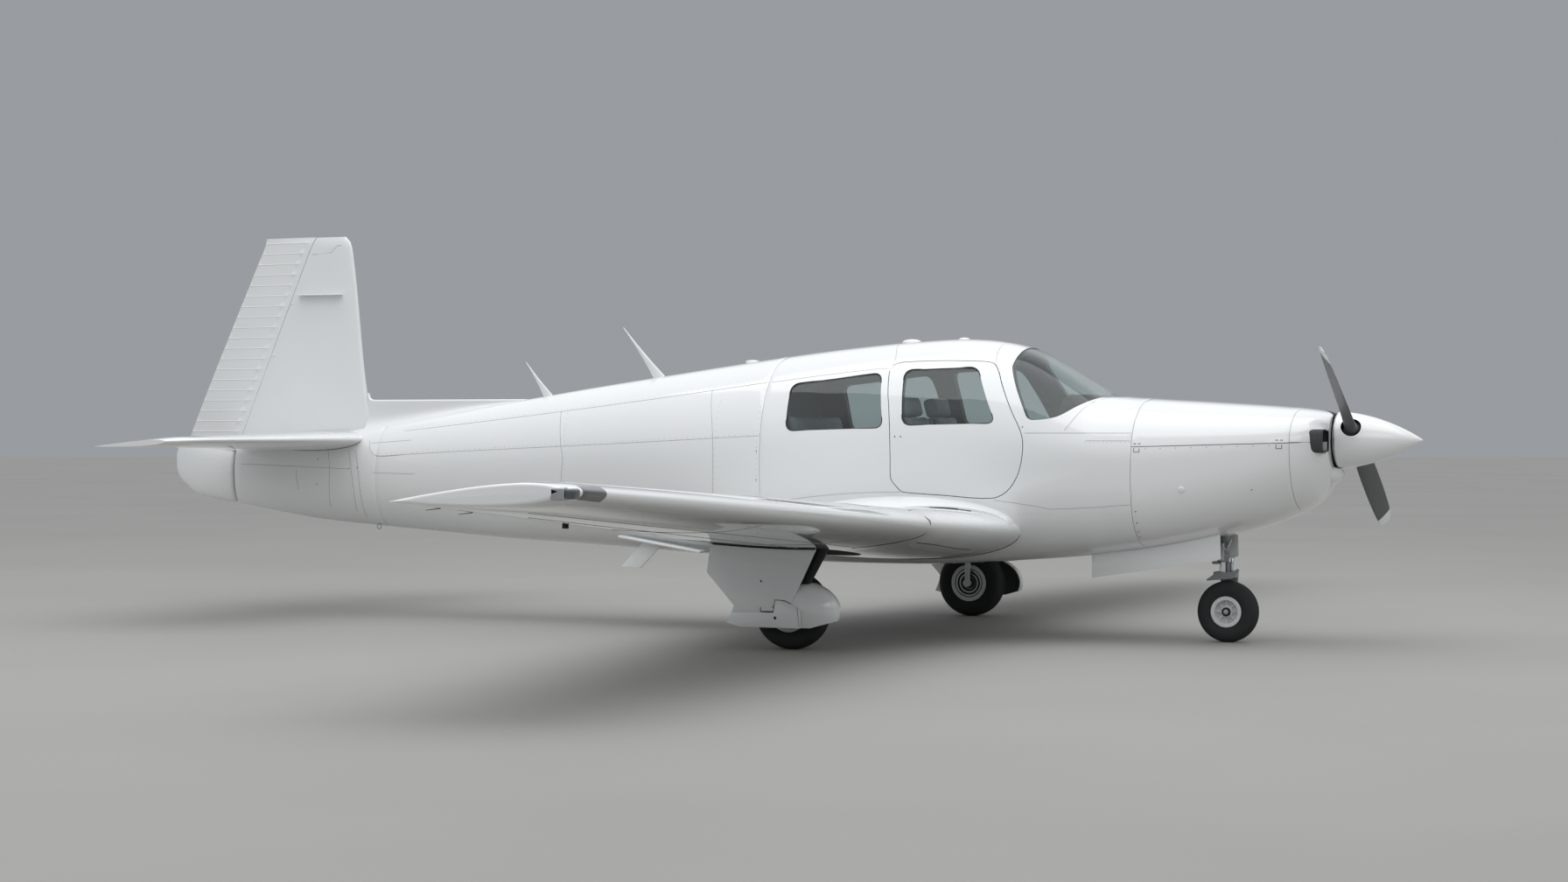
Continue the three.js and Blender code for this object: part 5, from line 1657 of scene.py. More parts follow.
wing = cut(
    wing_blank.copy(),
    hinged_region(flap_line, SURFACE_GAP, FLAP_REACH),
    hinged_region(aileron_line, SURFACE_GAP, TAIL_REACH),
    shared(wheel_well(), wing_seat(WING_FLOOR)),
)
painted(wing, 1, in_wing_well)
# Painted shade: the faces in the flap and aileron gaps are painted near-black
painted(wing, 2, in_gap(flap_line, aileron_line))
painted(wing, 3, in_edge_lamp)
flap = shared(wing_blank.copy(), hinged_region(flap_line, 0, FLAP_REACH))
aileron = shared(wing_blank.copy(), hinged_region(aileron_line, 0, TAIL_REACH))
tail_blank = loft(spaced(66, 1790, 40), FOIL_AROUND, stabilizer_point)
elevator_line = [
    (Vector((ELEVATOR_X, -span, ELEVATOR_Z)), NOSE_ROUND * half_thickness(-(ELEVATOR_X + 3600) / 1000) * deep)
    for span, deep in zip(ELEVATOR_Y, (113, 62))
]
stabilizer = cut(tail_blank.copy(), hinged_region(elevator_line, SURFACE_GAP, TAIL_REACH))
# Painted shade: the faces in the elevator gap are painted near-black
painted(stabilizer, 1, in_gap(elevator_line))
elevator = shared(tail_blank.copy(), hinged_region(elevator_line, 0, TAIL_REACH))


def pair(bm, name, material, node="", body="airframe"):
    twin = mirrored(bm)
    for half, side in ((bm, "right"), (twin, "left")):
        nodes = [f"{node}_{side}"] if node else []
        finished(half, f"{name}_{side}", material, *nodes, body=body.replace("*", side))


pair(wing, "wing_skin", [white_paint, primer_grey_and_painted_shade, dark_steel_and_painted_shade, lamp_glass], "wing")
pair(flap, "flap_skin", white_paint, "flap", "flap_*")
pair(aileron, "aileron_skin", white_paint, "aileron", "aileron_*")
pair(stabilizer, "stabilizer_skin", [white_paint, dark_steel_and_painted_shade], "stabilizer")
pair(elevator, "elevator_skin", white_paint, "elevator", "elevators")


FILLET_STEPS, FILLET_DEPTH, FILLET_FULLNESS = 20, 10.0, 1.1


def blended(rows):
    """A fillet between two surfaces, closed behind. A row holds a point and direction on each."""
    around = 2 * FILLET_STEPS

    def place(i, angle):
        start, leave, end, arrive = rows[int(i)]
        j = round(angle / tau * around) % around
        back = j > FILLET_STEPS
        t = (around - j if back else j) / FILLET_STEPS
        reach = (end - start).length * FILLET_FULLNESS
        w0, w1, w2, w3 = ease(t)
        point = (
            w0 * start + w1 * end + w2 * leave.normalized() * reach + w3 * arrive.normalized() * reach
        )
        if back:
            chord = start.lerp(end, t)
            across = point - chord
            sunk_by = across * 0.2 + across.normalized() * FILLET_DEPTH
            point = chord - sunk_by if across.length > 0.1 else chord
        return point

    return loft(list(range(len(rows))), around, place)


def skin_slope(x, z):
    return Vector((0, skin_half(x, z - 2) - skin_half(x, z + 2), 4))


def root_fillet():
    rows = []
    for i in range(1, FOIL_AROUND // 2):
        angle = tau * i / FOIL_AROUND
        along = (1 - cos(angle)) / 2
        span = 600 + 85 * sin(pi * min(1.0, along * 1.6 + 0.08) / 2) ** 0.8
        start = wing_point(span, angle)
        leave = wing_point(span - 6, angle) - start
        rise = 18 + 78 * sin(pi * min(1.0, along * 1.7) / 2) ** 1.2
        x = start.x + 8 * (1 - along)
        z = wing_point(553, angle).z + rise
        end = Vector((x, -skin_half(x, z, 0.6), z))
        rows.append((start + Vector((0, 0, 0.5)), leave, end, skin_slope(x, z)))
    return blended(rows)


pair(root_fillet(), "wing_root_fairing", white_paint)


# Wing details: hinge line, tip lamp, leading edge lamp, bracket, wicks, fuel caps and the root seam
def on_foil(row, x, span, under=True):
    along = min(1.0, max(0.0, (row[0] - x) / (row[0] - row[1])))
    angle = acos(1 - 2 * along)
    return foil_point(row, span, -angle if under else angle)


def on_wing(x, span, under=True):
    return on_foil(wing_row(span), x, span, under)


def crossing(place, near, far):
    """Where a surface leaves the fuselage's side: place(span) gives its point at a span."""
    for _ in range(24):
        middle = (near + far) / 2
        point = place(middle)
        if skin_half(point.x, point.z) > middle:
            near = middle
        else:
            far = middle
    return place(near)


root_line = [crossing(lambda span: on_wing(x, span), 200.0, 640.0) for x in spaced(985, -820, 25)]
pair(tube(root_line, 2.6, 1), "wing_root_seam", dark_steel_and_painted_shade)
# Seams round the thicker leading edge: station, span, and whether the point is on the underside
CUFF = [
    (700, 1480, False), (790, 1455, False), (808, 1432, True), (761, 1418, True), (661, 1484, True),
    (549, 1526, True), (394, 1532, True),
]
CUFF_BRANCH = [(668, 1274, True), (689, 1130, True), (707, 944, True), (728, 776, True), (754, 668, True)]
cuff_lines = [
    tube(flowing([on_wing(x, span, under) for x, span, under in line], 20), 2.4, 1)
    for line in (CUFF, CUFF_BRANCH)
]
pair(gathered(*cuff_lines), "wing_cuff_seams", dark_steel_and_painted_shade)
RIB_SEAMS = ((2050, 700, -350), (3385, 780, -100))     # span, and the stations where a seam starts and ends
SPAR_SEAMS = ((430, 5150), (120, 4600))     # station of a seam along the span, and where it ends
wing_seams = [
    tube([on_wing(x, span, under) for x in spaced(front, back, 40)], SEAM_WIRE)
    for span, front, back in RIB_SEAMS
    for under in (True, False)
]
wing_seams += [
    tube([on_wing(x, span, under) for span in spaced(1640, end, 100)], SEAM_WIRE)
    for x, end in SPAR_SEAMS
    for under in (True, False)
]
pair(gathered(*wing_seams), "wing_panel_seams", seam_grey_and_rivet_shade)


RIVETED_RIBS = (2064, 2900, 4300)


def wing_rivets():
    places = []
    for under in (True, False):
        facing = Vector((0, 0, -1 if under else 1))
        for x, end in SPAR_SEAMS:
            places += [(on_wing(x + 12, span, under), facing) for span in spaced(1660, end - 40, 60)]
        for rib in RIVETED_RIBS:
            places += [(on_wing(x, rib, under), facing) for x in spaced(640, 140, 50)]
    return studs(places, *RIVET)


# Painted shade: the wing's rivet heads are grey, standing in for the shade round them
pair(wing_rivets(), "wing_rivets", seam_grey_and_rivet_shade)
# A thin dark crescent on the wing's top near the root, made of two dark tubes
root_dark_line = gathered(
    tube([on_wing(x, 700, False) for x in spaced(410, 770, 20)], 3.0, 2),
    tube([on_wing(x, 698, False) for x in spaced(520, 690, 20)], 6.0, 2),
)
pair(root_dark_line, "wing_root_dark_line", dark_steel_and_painted_shade)

TIP_Y = -WING_TIP
housing = block(724, 790, TIP_Y, TIP_Y + 40, 925, 978, 7, 4)
pair(housing, "tip_lamp_housing", bare_alloy)
lens_body = block(789, 836, TIP_Y, TIP_Y + 60, 930, 974, 13, 5)
pair(lens_body, "tip_lamp_lens", lamp_glass)
pair(ellipsoid((815, TIP_Y + 10, 955), (10, 10, 10), 24, 12), "tip_lamp_bulb", bare_alloy)
bracket = gathered(
    block(-372, -338, -3389, -3381, 722, 770, 2),
    rod((-352, -3400, 734), (-352, -3370, 734), 7, sides=20, edge=1),
)
pair(bracket, "hinge_bracket", dark_steel_and_painted_shade)


def wick(span):
    edge_x = wing_row(span)[1]
    tail = on_wing(edge_x, span) - Vector((70, 0, 10))
    return rod(on_wing(edge_x + 6, span), tail, 2.5, 1.2, 10)


pair(gathered(wick(4500), wick(4900)), "static_wicks", dark_steel_and_painted_shade, body="aileron_*")
cap_x, cap_y, cap_z = on_wing(250, 1900, False)
fuel_cap = gathered(
    rod((cap_x, cap_y, cap_z - 4), (cap_x, cap_y, cap_z + 3), 46, 44, 64, 1),
    block(cap_x - 30, cap_x + 30, cap_y - 5, cap_y + 5, cap_z, cap_z + 9, 2),
)
pair(fuel_cap, "fuel_cap", bare_alloy)

# Fin and rudder, and the end of the tail cone
RUDDER_TOP = Vector((-4080, 0, 2443))
RUDDER_FOOT = Vector((-4645, 0, 1169))


def on_rudder_line(height):
    return RUDDER_FOOT.lerp(RUDDER_TOP, (height - RUDDER_FOOT.z) / (RUDDER_TOP.z - RUDDER_FOOT.z))


rudder_line = [(on_rudder_line(850), 50), (on_rudder_line(RUDDER_TOP.z), 32)]
RUDDER_REACH = (900, 200)     # how far its region goes aft, and past the top of its line
LOWER_RUDDER = [
    # station, top, bottom, half width, waist height
    (-4668, 1080, 735, 16, 905),
    (-4676, 1096, 722, 36, 905),
    (-4700, 1104, 716, 50, 905),
    (-4807, 1104, 729, 44, 905),
    (-4993, 1104, 768, 28, 915),
    (-5100, 1098, 838, 16, 940),
    (-5150, 1080, 892, 8, 960),
    (-5165, 1040, 932, 4, 985),
]
lower_row = curve_through(LOWER_RUDDER)


def lower_point(station, angle):
    top, bottom, half, waist = lower_row(station)
    rise = cos(angle)
    reach = top - waist if rise > 0 else waist - bottom
    return Vector((station, half * sin(angle), waist + reach * rise))


BEADS = {"low": 1186, "high": 2426, "count": 19, "half": 3.4, "proud": 2.2}
BEAD_STEP = (BEADS["high"] - BEADS["low"]) / (BEADS["count"] - 1)


def beaded(height, angle):
    point = fin_point(height, angle)
    off = (height - BEADS["low"] + BEAD_STEP / 2) % BEAD_STEP - BEAD_STEP / 2
    back = on_rudder_line(height).x - 12 - point.x
    te_x = fin_row(height)[1]
    inside = min(1.0, max(0.0, back / 30)) * min(1.0, max(0.0, (point.x - te_x - 2) / 14))
    in_rows = BEADS["low"] - BEAD_STEP / 2 < height < BEADS["high"] + BEAD_STEP / 2
    if in_rows and abs(off) < BEADS["half"]:
        proud = BEADS["proud"] * inside * cos(off / BEADS["half"] * pi / 2)
        point.y += copysign(proud, sin(angle))
    return point


def bead_heights():
    """Heights of the rudder's sections: five over each bead and one between two beads."""
    heights = {1060.0, 2440.0, 2450.0, 2457.0}
    for i in range(BEADS["count"]):
        middle = BEADS["low"] + i * BEAD_STEP
        heights.update(middle + part * BEADS["half"] for part in (-1.0, -0.5, 0.0, 0.5, 1.0))
        heights.add(middle + BEAD_STEP / 2)
    return sorted(heights)


fin_blank = loft(spaced(1060, 2457, 35), FOIL_AROUND, fin_point)
rudder = joined(
    shared(loft(bead_heights(), 140, beaded), hinged_region(rudder_line, 0, *RUDDER_REACH)),
    loft(spaced(-4668, -5165, 12), 64, lower_point),
)
finished(rudder, "rudder_skin", white_paint, "rudder", body="rudder")
fin = cut(fin_blank, hinged_region(rudder_line, SURFACE_GAP, *RUDDER_REACH))
# Painted shade: the faces in the rudder gap are painted near-black
painted(fin, 1, in_gap(rudder_line))
finished(fin, "fin_skin", [white_paint, dark_steel_and_painted_shade], "fin")
cone_end = cut(
    fuselage_shell(CONE_END_X, TAIL_SPLIT_X - TAIL_GAP, TAIL_WALL, False, 40, TAIL_RIM),
    hinged_region(rudder_line, SURFACE_GAP + 0.3, *RUDDER_REACH),
)
# Painted shade: the cone end's faces more than 3 mm inside its skin are painted near-black
painted(cone_end, 1, lambda face: sunk(face, 3))
finished(cone_end, "empennage_cone_skin", [white_paint, dark_steel_and_painted_shade], "empennage_cone")


# Fin and tail details: vane on the fin, tip seam, hinge covers, tailplane's root seam, tie-down ring
def on_fin(x, height):
    le_x, te_x, _ = fin_row(height)
    along = (le_x - x) / (le_x - te_x)
    return fin_point(height, -acos(1 - 2 * along))


FIN_SEAM = [(-4062, 2345), (-3916, 2356), (-3876, 2399), (-3843, 2402)]
TAIL_STUDS = [(-4226, 2024, 8), (-4366, 1690, 13)]
fin_seam = tube([on_fin(x, z) for x, z in FIN_SEAM], SEAM_WIRE)
finished(both_sides(fin_seam), "fin_tip_seam", seam_grey_and_rivet_shade)
vane = block(-4161, -3828, -78, -18, 2076, 2083, 3, 3)
finished(both_sides(vane), "fin_vane", white_paint)
tail_heads = [(on_fin(x, z), Vector((0, -1, 0)), r) for x, z, r in TAIL_STUDS]
covers = gathered(*[rod(point + face * -2, point + face * 4, r, r - 2, 24) for point, face, r in tail_heads])
finished(both_sides(covers), "fin_hinge_covers", white_paint)


def on_stabilizer(x, span):
    return on_foil(stabilizer_row(span), x, span)


tail_line = [crossing(lambda span: on_stabilizer(x, span), 20, 300) for x in spaced(-3640, -4180, 20)]
pair(tube(tail_line, 2.2, 1), "tailplane_root_seam", dark_steel_and_painted_shade)
RING = {"x": -3532, "y": -60, "z": 572, "r": 15, "points": 24}


def ring_point(turn):
    return Vector((RING["x"] + RING["r"] * cos(turn), RING["y"], RING["z"] + RING["r"] * sin(turn)))


ring_line = [ring_point(tau * i / RING["points"]) for i in range(RING["points"])]
finished(tube(ring_line, 3.5, 2, True), "tail_tie_down_ring", bare_alloy)

# Landing gear
TRACK_Y, MAIN_TYRE_R, MAIN_RIM_R, MAIN_TYRE_W = 1435, 215, 108, 150
NOSE_WHEEL_X, NOSE_TYRE_R, NOSE_RIM_R, NOSE_TYRE_W = 2063, 174, 78, 118
FACET_DROP = cos(pi / 24)     # the tyre's solid stands on a facet
MAIN_Z, NOSE_Z = MAIN_TYRE_R * FACET_DROP, NOSE_TYRE_R * FACET_DROP
STEER_X = 2036
LEG_Y = -TRACK_Y - MAIN_TYRE_W / 2 - 42
ACROSS = (0, 1, 0)
GROOVES, GROOVE_HALF, GROOVE_DEPTH = (-0.34, 0.0, 0.34), 0.035, 4     # places as shares of the half width
TYRE_AROUND, WHEEL_AROUND = 112, 72


def tyre(radius, rim, width, centre):
    half = width / 2
    wall = radius - rim - 1
    profile = []
    for i in range(41):
        turn = -pi / 2 + pi * i / 40
        r = rim + 1 + wall * (0.42 + 0.58 * abs(cos(turn)) ** 0.8)
        y = half * signed_power(sin(turn), 0.75)
        if any(abs(y / half - groove) < GROOVE_HALF for groove in GROOVES):
            r -= GROOVE_DEPTH
        profile.append((r, y))
    inner = [(rim + 1, half * 0.72), (rim + 1, -half * 0.72)]
    bm = spun(profile + inner, (0, 0, 0), ACROSS, TYRE_AROUND)
    drop = radius * FACET_DROP
    for vert in bm.verts:
        if vert.co.z < -drop:
            vert.co.z = -drop
    bmesh.ops.translate(bm, verts=bm.verts, vec=centre)
    return bm


def wheel(rim, width, centre, outward, ribs):
    half = width / 2
    profile = [
        (22, -half * 0.7), (rim * 0.42, -half * 0.7), (rim * 0.5, -half * 0.3), (rim * 0.8, -half * 0.3),
        (rim * 0.86, -half * 0.82), (rim * 0.98, -half * 0.9), (rim + 3, -half * 0.86), (rim, -half * 0.76),
        (rim, half * 0.76), (rim + 3, half * 0.86), (rim * 0.98, half * 0.9), (rim * 0.86, half * 0.82),
        (rim * 0.8, half * 0.3), (rim * 0.5, half * 0.3), (rim * 0.42, half * 0.7), (22, half * 0.7),
    ]
    parts = [softened(spun(profile, centre, ACROSS, WHEEL_AROUND), 1.5, 50)]
    flange = [(rim * 0.86, 0), (rim + 8, 0), (rim + 10, 3), (rim + 7, 5), (rim * 0.86, 4)]
    for hand in (-1, 1):
        ring = [(r, hand * along) for r, along in flange]
        at = (centre[0], centre[1] + hand * half * 0.83, centre[2])
        parts.append(spun(ring, at, ACROSS, WHEEL_AROUND))
    bolt_x, bolt_z = rim * 0.66, rim * 0.24
    foot, head = outward * half * 0.28, outward * half * 0.42
    for i in range(ribs):
        turn = turned_about(centre, tau * i / ribs, "Y")
        web = block(rim * 0.4, rim * 0.84, -half * 0.56, half * 0.56, -3.5, 3.5, 1.5)
        bolt = rod((bolt_x, foot, bolt_z), (bolt_x, head, bolt_z), 5, sides=6)
        parts += [moved(web, turn), moved(bolt, turn)]
    return gathered(*parts)


def hub_cap(rim, width, centre, side):
    x, y, z = centre
    seat = y + side * width * 0.35
    profile = [(rim * 0.19, 0), (rim * 0.33, 0), (rim * 0.33, side * 9), (rim * 0.19, side * 9)]
    ring = spun(profile, (x, seat, z), ACROSS, 48)
    nut = rod((x, seat, z), (x, seat + side * 15, z), rim * 0.17, sides=24, edge=1.5)

    def on_nut(face):
        spot = face.calc_center_median()
        return hypot(spot.x - x, spot.z - z) < rim * 0.175

    return painted(gathered(ring, nut), 1, on_nut)


BRAKE_OFF = 56      # from the middle of the wheel to the disc
BRAKE_STEPS = [
    # radius, and height towards the leg
    (40, 0), (54, 0), (55, 7), (63, 7), (64, 3), (76, 3), (77, 9), (86, 9), (87, 4), (91, 4),
    (91, -8), (40, -8),
]


def brake_rings(centre, side):
    x, y, z = centre
    profile = [(r, along * side) for r, along in BRAKE_STEPS]
    disc = spun(profile, (x, y + side * BRAKE_OFF, z), ACROSS, 80)

    # Painted shade: the recessed ring, the middle and the outer edge of the disc are painted near-black
    def shaded_rings(face):
        spot = face.calc_center_median()
        r = hypot(spot.x - x, spot.z - z)
        return 64 < r < 76 or r < 54 or 87 < r

    return painted(disc, 1, shaded_rings)


def wheel_set(name, body, tyre_size, centre, outward, ribs, nodes):
    radius, rim, width = tyre_size
    wheel_node, tyre_node = nodes
    finished(tyre(radius, rim, width, centre), f"{name}_tyre_tread", tyre_rubber, tyre_node, body=body)
    casting = wheel(rim, width, centre, outward, ribs)
    finished(casting, f"{name}_wheel_casting", wheel_paint_and_painted_light, wheel_node, body=body)
    finished(hub_cap(rim, width, centre, outward), f"{name}_hub_cap", [dark_steel_and_painted_shade, bare_alloy], body=body)


def retraction_link(side):
    near, far = side * (TRACK_Y - 94), side * (TRACK_Y - 104)
    return gathered(
        rod((0, near, MAIN_Z), (26, far, 744), 17, 20, 32, 1),
        rod((0, side * (TRACK_Y - 75), MAIN_Z), (0, side * (TRACK_Y - 112), MAIN_Z), 24, sides=32, edge=2),
    )


for side, hand in ((-1, "right"), (1, "left")):
    centre = (0, side * TRACK_Y, MAIN_Z)
    wheel_set(
        f"main_{hand}", f"main_wheel_{hand}", (MAIN_TYRE_R, MAIN_RIM_R, MAIN_TYRE_W), centre, -side, 9,
        (f"main_wheel_{hand}", f"main_tyre_{hand}"),
    )
    disc = brake_rings(centre, -side)
    finished(disc, f"brake_disc_{hand}", [bare_alloy, dark_steel_and_painted_shade], body=f"main_wheel_{hand}")
    finished(retraction_link(side), f"retraction_link_{hand}", wheel_paint_and_painted_light)
wheel_set(
    "nose", "nose_wheel", (NOSE_TYRE_R, NOSE_RIM_R, NOSE_TYRE_W), (NOSE_WHEEL_X, 0, NOSE_Z), -1, 8,
    ("nose_wheel", "nose_tyre"),
)


# Main gear: leg with its rubber spring stack, and the door with its fender
LEG_TOP, LEG_KNEE = Vector((165, LEG_Y, 700)), Vector((60, LEG_Y, 300))
SPRINGS = {"count": 7, "first": 96, "pitch": 27, "thick": 20, "r": 41}     # rubber discs down the leg


def main_leg():
    top, knee, axle = LEG_TOP, LEG_KNEE, Vector((0, LEG_Y, MAIN_Z))
    parts = [
        rod(top, knee, 30, 27, 48, 3),
        rod(top + Vector((0, -26, 0)), top + Vector((0, 60, 0)), 34, sides=48, edge=4),
        rod(knee + Vector((0, 0, 24)), axle, 28, 28, 40, 3),
        rod((0, LEG_Y - 14, MAIN_Z), (0, -TRACK_Y + 52, MAIN_Z), 19, sides=40, edge=2),
        rod((0, LEG_Y - 16, MAIN_Z), (0, LEG_Y + 22, MAIN_Z), 38, sides=48, edge=4),
        rod((100, LEG_Y, 520), (-52, LEG_Y, 300), 9, sides=20),
        rod((-52, LEG_Y, 300), (-10, LEG_Y, 226), 11, sides=20),
        rod((-60, LEG_Y - 12, 298), (-60, LEG_Y + 12, 298), 16, sides=32, edge=2),
    ]
    along = (knee - top).normalized()
    for i in range(SPRINGS["count"]):
        start = top + along * (SPRINGS["first"] + i * SPRINGS["pitch"])
        parts.append(rod(start, start + along * SPRINGS["thick"], SPRINGS["r"], sides=48, edge=6))
    return gathered(*parts)


# The door's plate, and the lower skirt that is stepped over it and carries the fender
GEAR_DOOR = [
    (-410, 640), (-440, 419), (-276, 241), (-316, 144), (-239, 128), (121, 128), (67, 259),
    (219, 568), (212, 640),
]
GEAR_DOOR_Y = LEG_Y - 52
SKIRT = [
    (-314, 147), (-240, 127), (126, 127), (126, 225), (69, 258), (33, 273), (-26, 277),
    (-36, 209), (-290, 203),
]
SKIRT_TOP, SKIRT_FLARE = 250, 0.07
FENDER = {"centre": (55, -1512, 215), "semi": (260, 96, 170), "foot": 128, "inboard": -1486, "wall": 5}
FENDER_FOOT = [(170, 60), (360, 60), (360, 190), (300, 164), (170, 128)]     # its slanted lower corner
FENDER_BLUNT = 2.5        # 2 is an ellipsoid, and more is flatter
OUTBOARD, INBOARD = -1700, -1300      # clear of the fender on either side
DOOR_HALF, SEAT_DROP = 5, 4.0         # half the plate's thickness, and its gap below the wing


def gear_door():
    plate = side_prism(GEAR_DOOR, GEAR_DOOR_Y - DOOR_HALF, GEAR_DOOR_Y + DOOR_HALF)
    return softened(cut(plate, wing_seat(SEAT_DROP)), 2.2, 60, 2)


def door_skirt():
    plate = softened(side_prism(SKIRT, GEAR_DOOR_Y - 9, GEAR_DOOR_Y - DOOR_HALF), 1.2, 60, 2)
    for vert in plate.verts:
        vert.co.y -= max(0.0, SKIRT_TOP - vert.co.z) * SKIRT_FLARE
    return plate


def dome(shrink):
    """The fender's bulge: round in side view, with a nearly flat outer face flush with the skirt."""
    (x, y, z), (a, b, c) = FENDER["centre"], [semi - shrink for semi in FENDER["semi"]]
    bulge = bmesh.new()
    bmesh.ops.create_uvsphere(bulge, u_segments=112, v_segments=56, radius=1)
    for vert in bulge.verts:
        ring = hypot(vert.co.x, vert.co.z)
        depth = (1 - min(1.0, ring) ** FENDER_BLUNT) ** (1 / FENDER_BLUNT)
        vert.co = Vector((
            x + a * vert.co.x, y + b * copysign(depth, vert.co.y), z + c * vert.co.z,
        ))
    return faced_out(bulge)


def fender():
    """Half a hollow dome in front of the wheel, open behind, below and towards the wheel."""
    return cut(
        dome(0),
        block(-400, 400, FENDER["inboard"], INBOARD, 0, 500),
        block(-400, 10, OUTBOARD, INBOARD, 0, 500),
        block(-400, 400, OUTBOARD, INBOARD, 0, FENDER["foot"]),
        side_prism(FENDER_FOOT, OUTBOARD, INBOARD),
        dome(FENDER["wall"]),
        rod((0, -TRACK_Y - MAIN_TYRE_W / 2 - 8, MAIN_Z), (0, INBOARD, MAIN_Z), MAIN_TYRE_R + 10, sides=96),
        rod((LEG_TOP.x, LEG_Y, 690), LEG_KNEE, 46, 36, 48),
    )


def inside_fender(face):
    centre = face.calc_center_median()
    return face.normal.dot(centre - Vector(FENDER["centre"])) < 0


def door_brace():
    return gathered(
        block(40, 96, GEAR_DOOR_Y + 4, LEG_Y - 24, 402, 420, 3),
        block(92, 128, GEAR_DOOR_Y + 4, LEG_Y - 26, 540, 556, 3),
    )


def door_lines():
    face = GEAR_DOOR_Y - 6
    hinge = [on_wing(x, -GEAR_DOOR_Y) - Vector((0, 6, 4)) for x in spaced(-404, 208, 20)]
    upper = [on_wing(x, -GEAR_DOOR_Y + 8) - Vector((0, 4, 0)) for x in spaced(-420, 214, 20)]
    step = [(-113, 212), (-37, 210), (-27, 278), (33, 274), (68, 259)]
    skirt_face = face - 5
    parts = [
        tube(hinge, 3.0, 1),
        tube(upper, 2.0, 1),
        tube([(x, face - 4.5, z) for x, z in step], 1.8),
        tube([(-113, face - 3, 236), (-113, face - 3, 214), (-38, face - 3, 214)], 1.8),
        tube([(-172, skirt_face, 204), (-172, skirt_face - 5, 132)], 1.0),
        tube([(-267, skirt_face, 196), (-252, skirt_face - 5, 136)], 1.0),
        tube([(104, skirt_face, 240), (120, skirt_face - 6, 134)], 1.0),
        block(-32, -18, skirt_face - 5, skirt_face, 172, 188, 2),
        studs([(Vector((-112, face, 378)), Vector((0, -1, 0)))], 6, 1.5, 16),
        studs([(Vector((-38, face - 3, 240)), Vector((0, -1, 0)))], 4, 1.0, 12),
    ]
    return gathered(*parts)


pair(main_leg(), "main_leg_parts", dark_steel_and_painted_shade, "main_leg")
pair(gear_door(), "main_gear_door_plate", white_paint, "main_gear_door")
pair(door_skirt(), "gear_door_skirt", white_paint)
# Painted shade: the fender's inner faces are painted dark primer grey
pair(painted(softened(fender(), 1.2, 50, 1), 1, inside_fender), "wheel_fender", [white_paint, primer_grey_and_painted_shade])
FRONT_STRUT = [
    (205, 612), (272, 612), (263, 559), (165, 389), (150, 365), (104, 365), (113, 389), (196, 559),
]
pair(softened(side_prism(FRONT_STRUT, -1572, -1532), 4), "leg_front_strut", dark_steel_and_painted_shade)
pair(door_brace(), "gear_door_brace", grey_enamel)
pair(door_lines(), "gear_door_seams", dark_steel_and_painted_shade)
latch_plate = block(-113, -36, GEAR_DOOR_Y - 8, GEAR_DOOR_Y - 4, 213, 237, 1.5)
pair(latch_plate, "gear_door_latch", white_paint)


# Nose gear
def nose_leg():
    return gathered(
        rod((STEER_X, 0, 660), (STEER_X, 0, 452), 34, 31, 48, 3),
        rod((STEER_X, 0, 500), (STEER_X, 0, 478), 40, sides=48, edge=3),
        block(STEER_X - 62, STEER_X - 24, -26, 26, 440, 660, 6),
        rod((STEER_X - 250, 0, 650), (STEER_X - 34, 0, 476), 17, sides=32, edge=3),
        rod((STEER_X + 22, -26, 560), (STEER_X + 22, 26, 560), 11, sides=24, edge=2),
    )


# Outlines in side view, as station and height
FORK_Y, FORK_HALF = NOSE_TYRE_W / 2 + 26, 11     # the fork's one side, to port of the wheel
FORK_SIDE = [(1985, 400), (2036, NOSE_Z - 22), (2088, NOSE_Z - 22), (2100, 400)]
FORK_CROWN = [(1985, 362), (2100, 362), (2100, 398), (1985, 398)]
TOW_PLATE = [(1944, 352), (1950, 346), (2098, 360), (2136, 408), (2126, 418), (2084, 392), (1990, 384)]
NOSE_DOOR = [(1322, 357), (2050, 468), (2072, 480), (2068, 640), (1322, 540)]
PISTON_Z, PISTON_R = (456, 392), 24


def nose_fork():
    x, y, z = NOSE_WHEEL_X, FORK_Y, NOSE_Z
    return gathered(
        softened(side_prism(TOW_PLATE, -40, -24), 3),
        softened(side_prism(FORK_CROWN, -38, FORK_Y + FORK_HALF), 6),
        softened(side_prism(FORK_SIDE, FORK_Y - FORK_HALF, FORK_Y + FORK_HALF), 5),
        rod((x, y + 14, z), (x, -NOSE_TYRE_W / 2 + 12, z), 19, sides=40, edge=2),
        rod((x, y + 10, z), (x, y + 22, z), 27, sides=6, edge=2),
        block(2058, 2076, -22, 22, 386, 452, 4),
    )


def nose_door():
    plate = side_prism(NOSE_DOOR, -205, -195)
    return softened(cut(plate, fuselage_solid(1200, 2200, -1.0)), 2, 60, 2)


finished(nose_leg(), "nose_leg_casting", grey_enamel, "nose_leg")
finished(nose_fork(), "nose_fork_casting", grey_enamel, "nose_fork", body="nose_gear_fork")
piston = rod((STEER_X, 0, PISTON_Z[0]), (STEER_X, 0, PISTON_Z[1]), PISTON_R, sides=48)
finished(piston, "nose_oleo_piston", hard_chrome, body="nose_gear_fork")
pair(nose_door(), "nose_gear_door_plate", white_paint, "nose_gear_door")
leg_links = gathered(
    block(1998, 2052, -50, -42, 462, 563, 4),
    rod((2090, -44, 583), (2062, -44, 520), 7, sides=20, edge=1),
    rod((2062, -44, 520), (2046, -44, 540), 6, sides=20, edge=1),
    rod((1795, -168, 560), (1845, -186, 470), 9, sides=20, edge=1),
)
finished(leg_links, "nose_leg_links", bare_alloy)
damper_rod = rod((2086, 0, 472), (2086, 0, 396), 9, sides=32, edge=1)
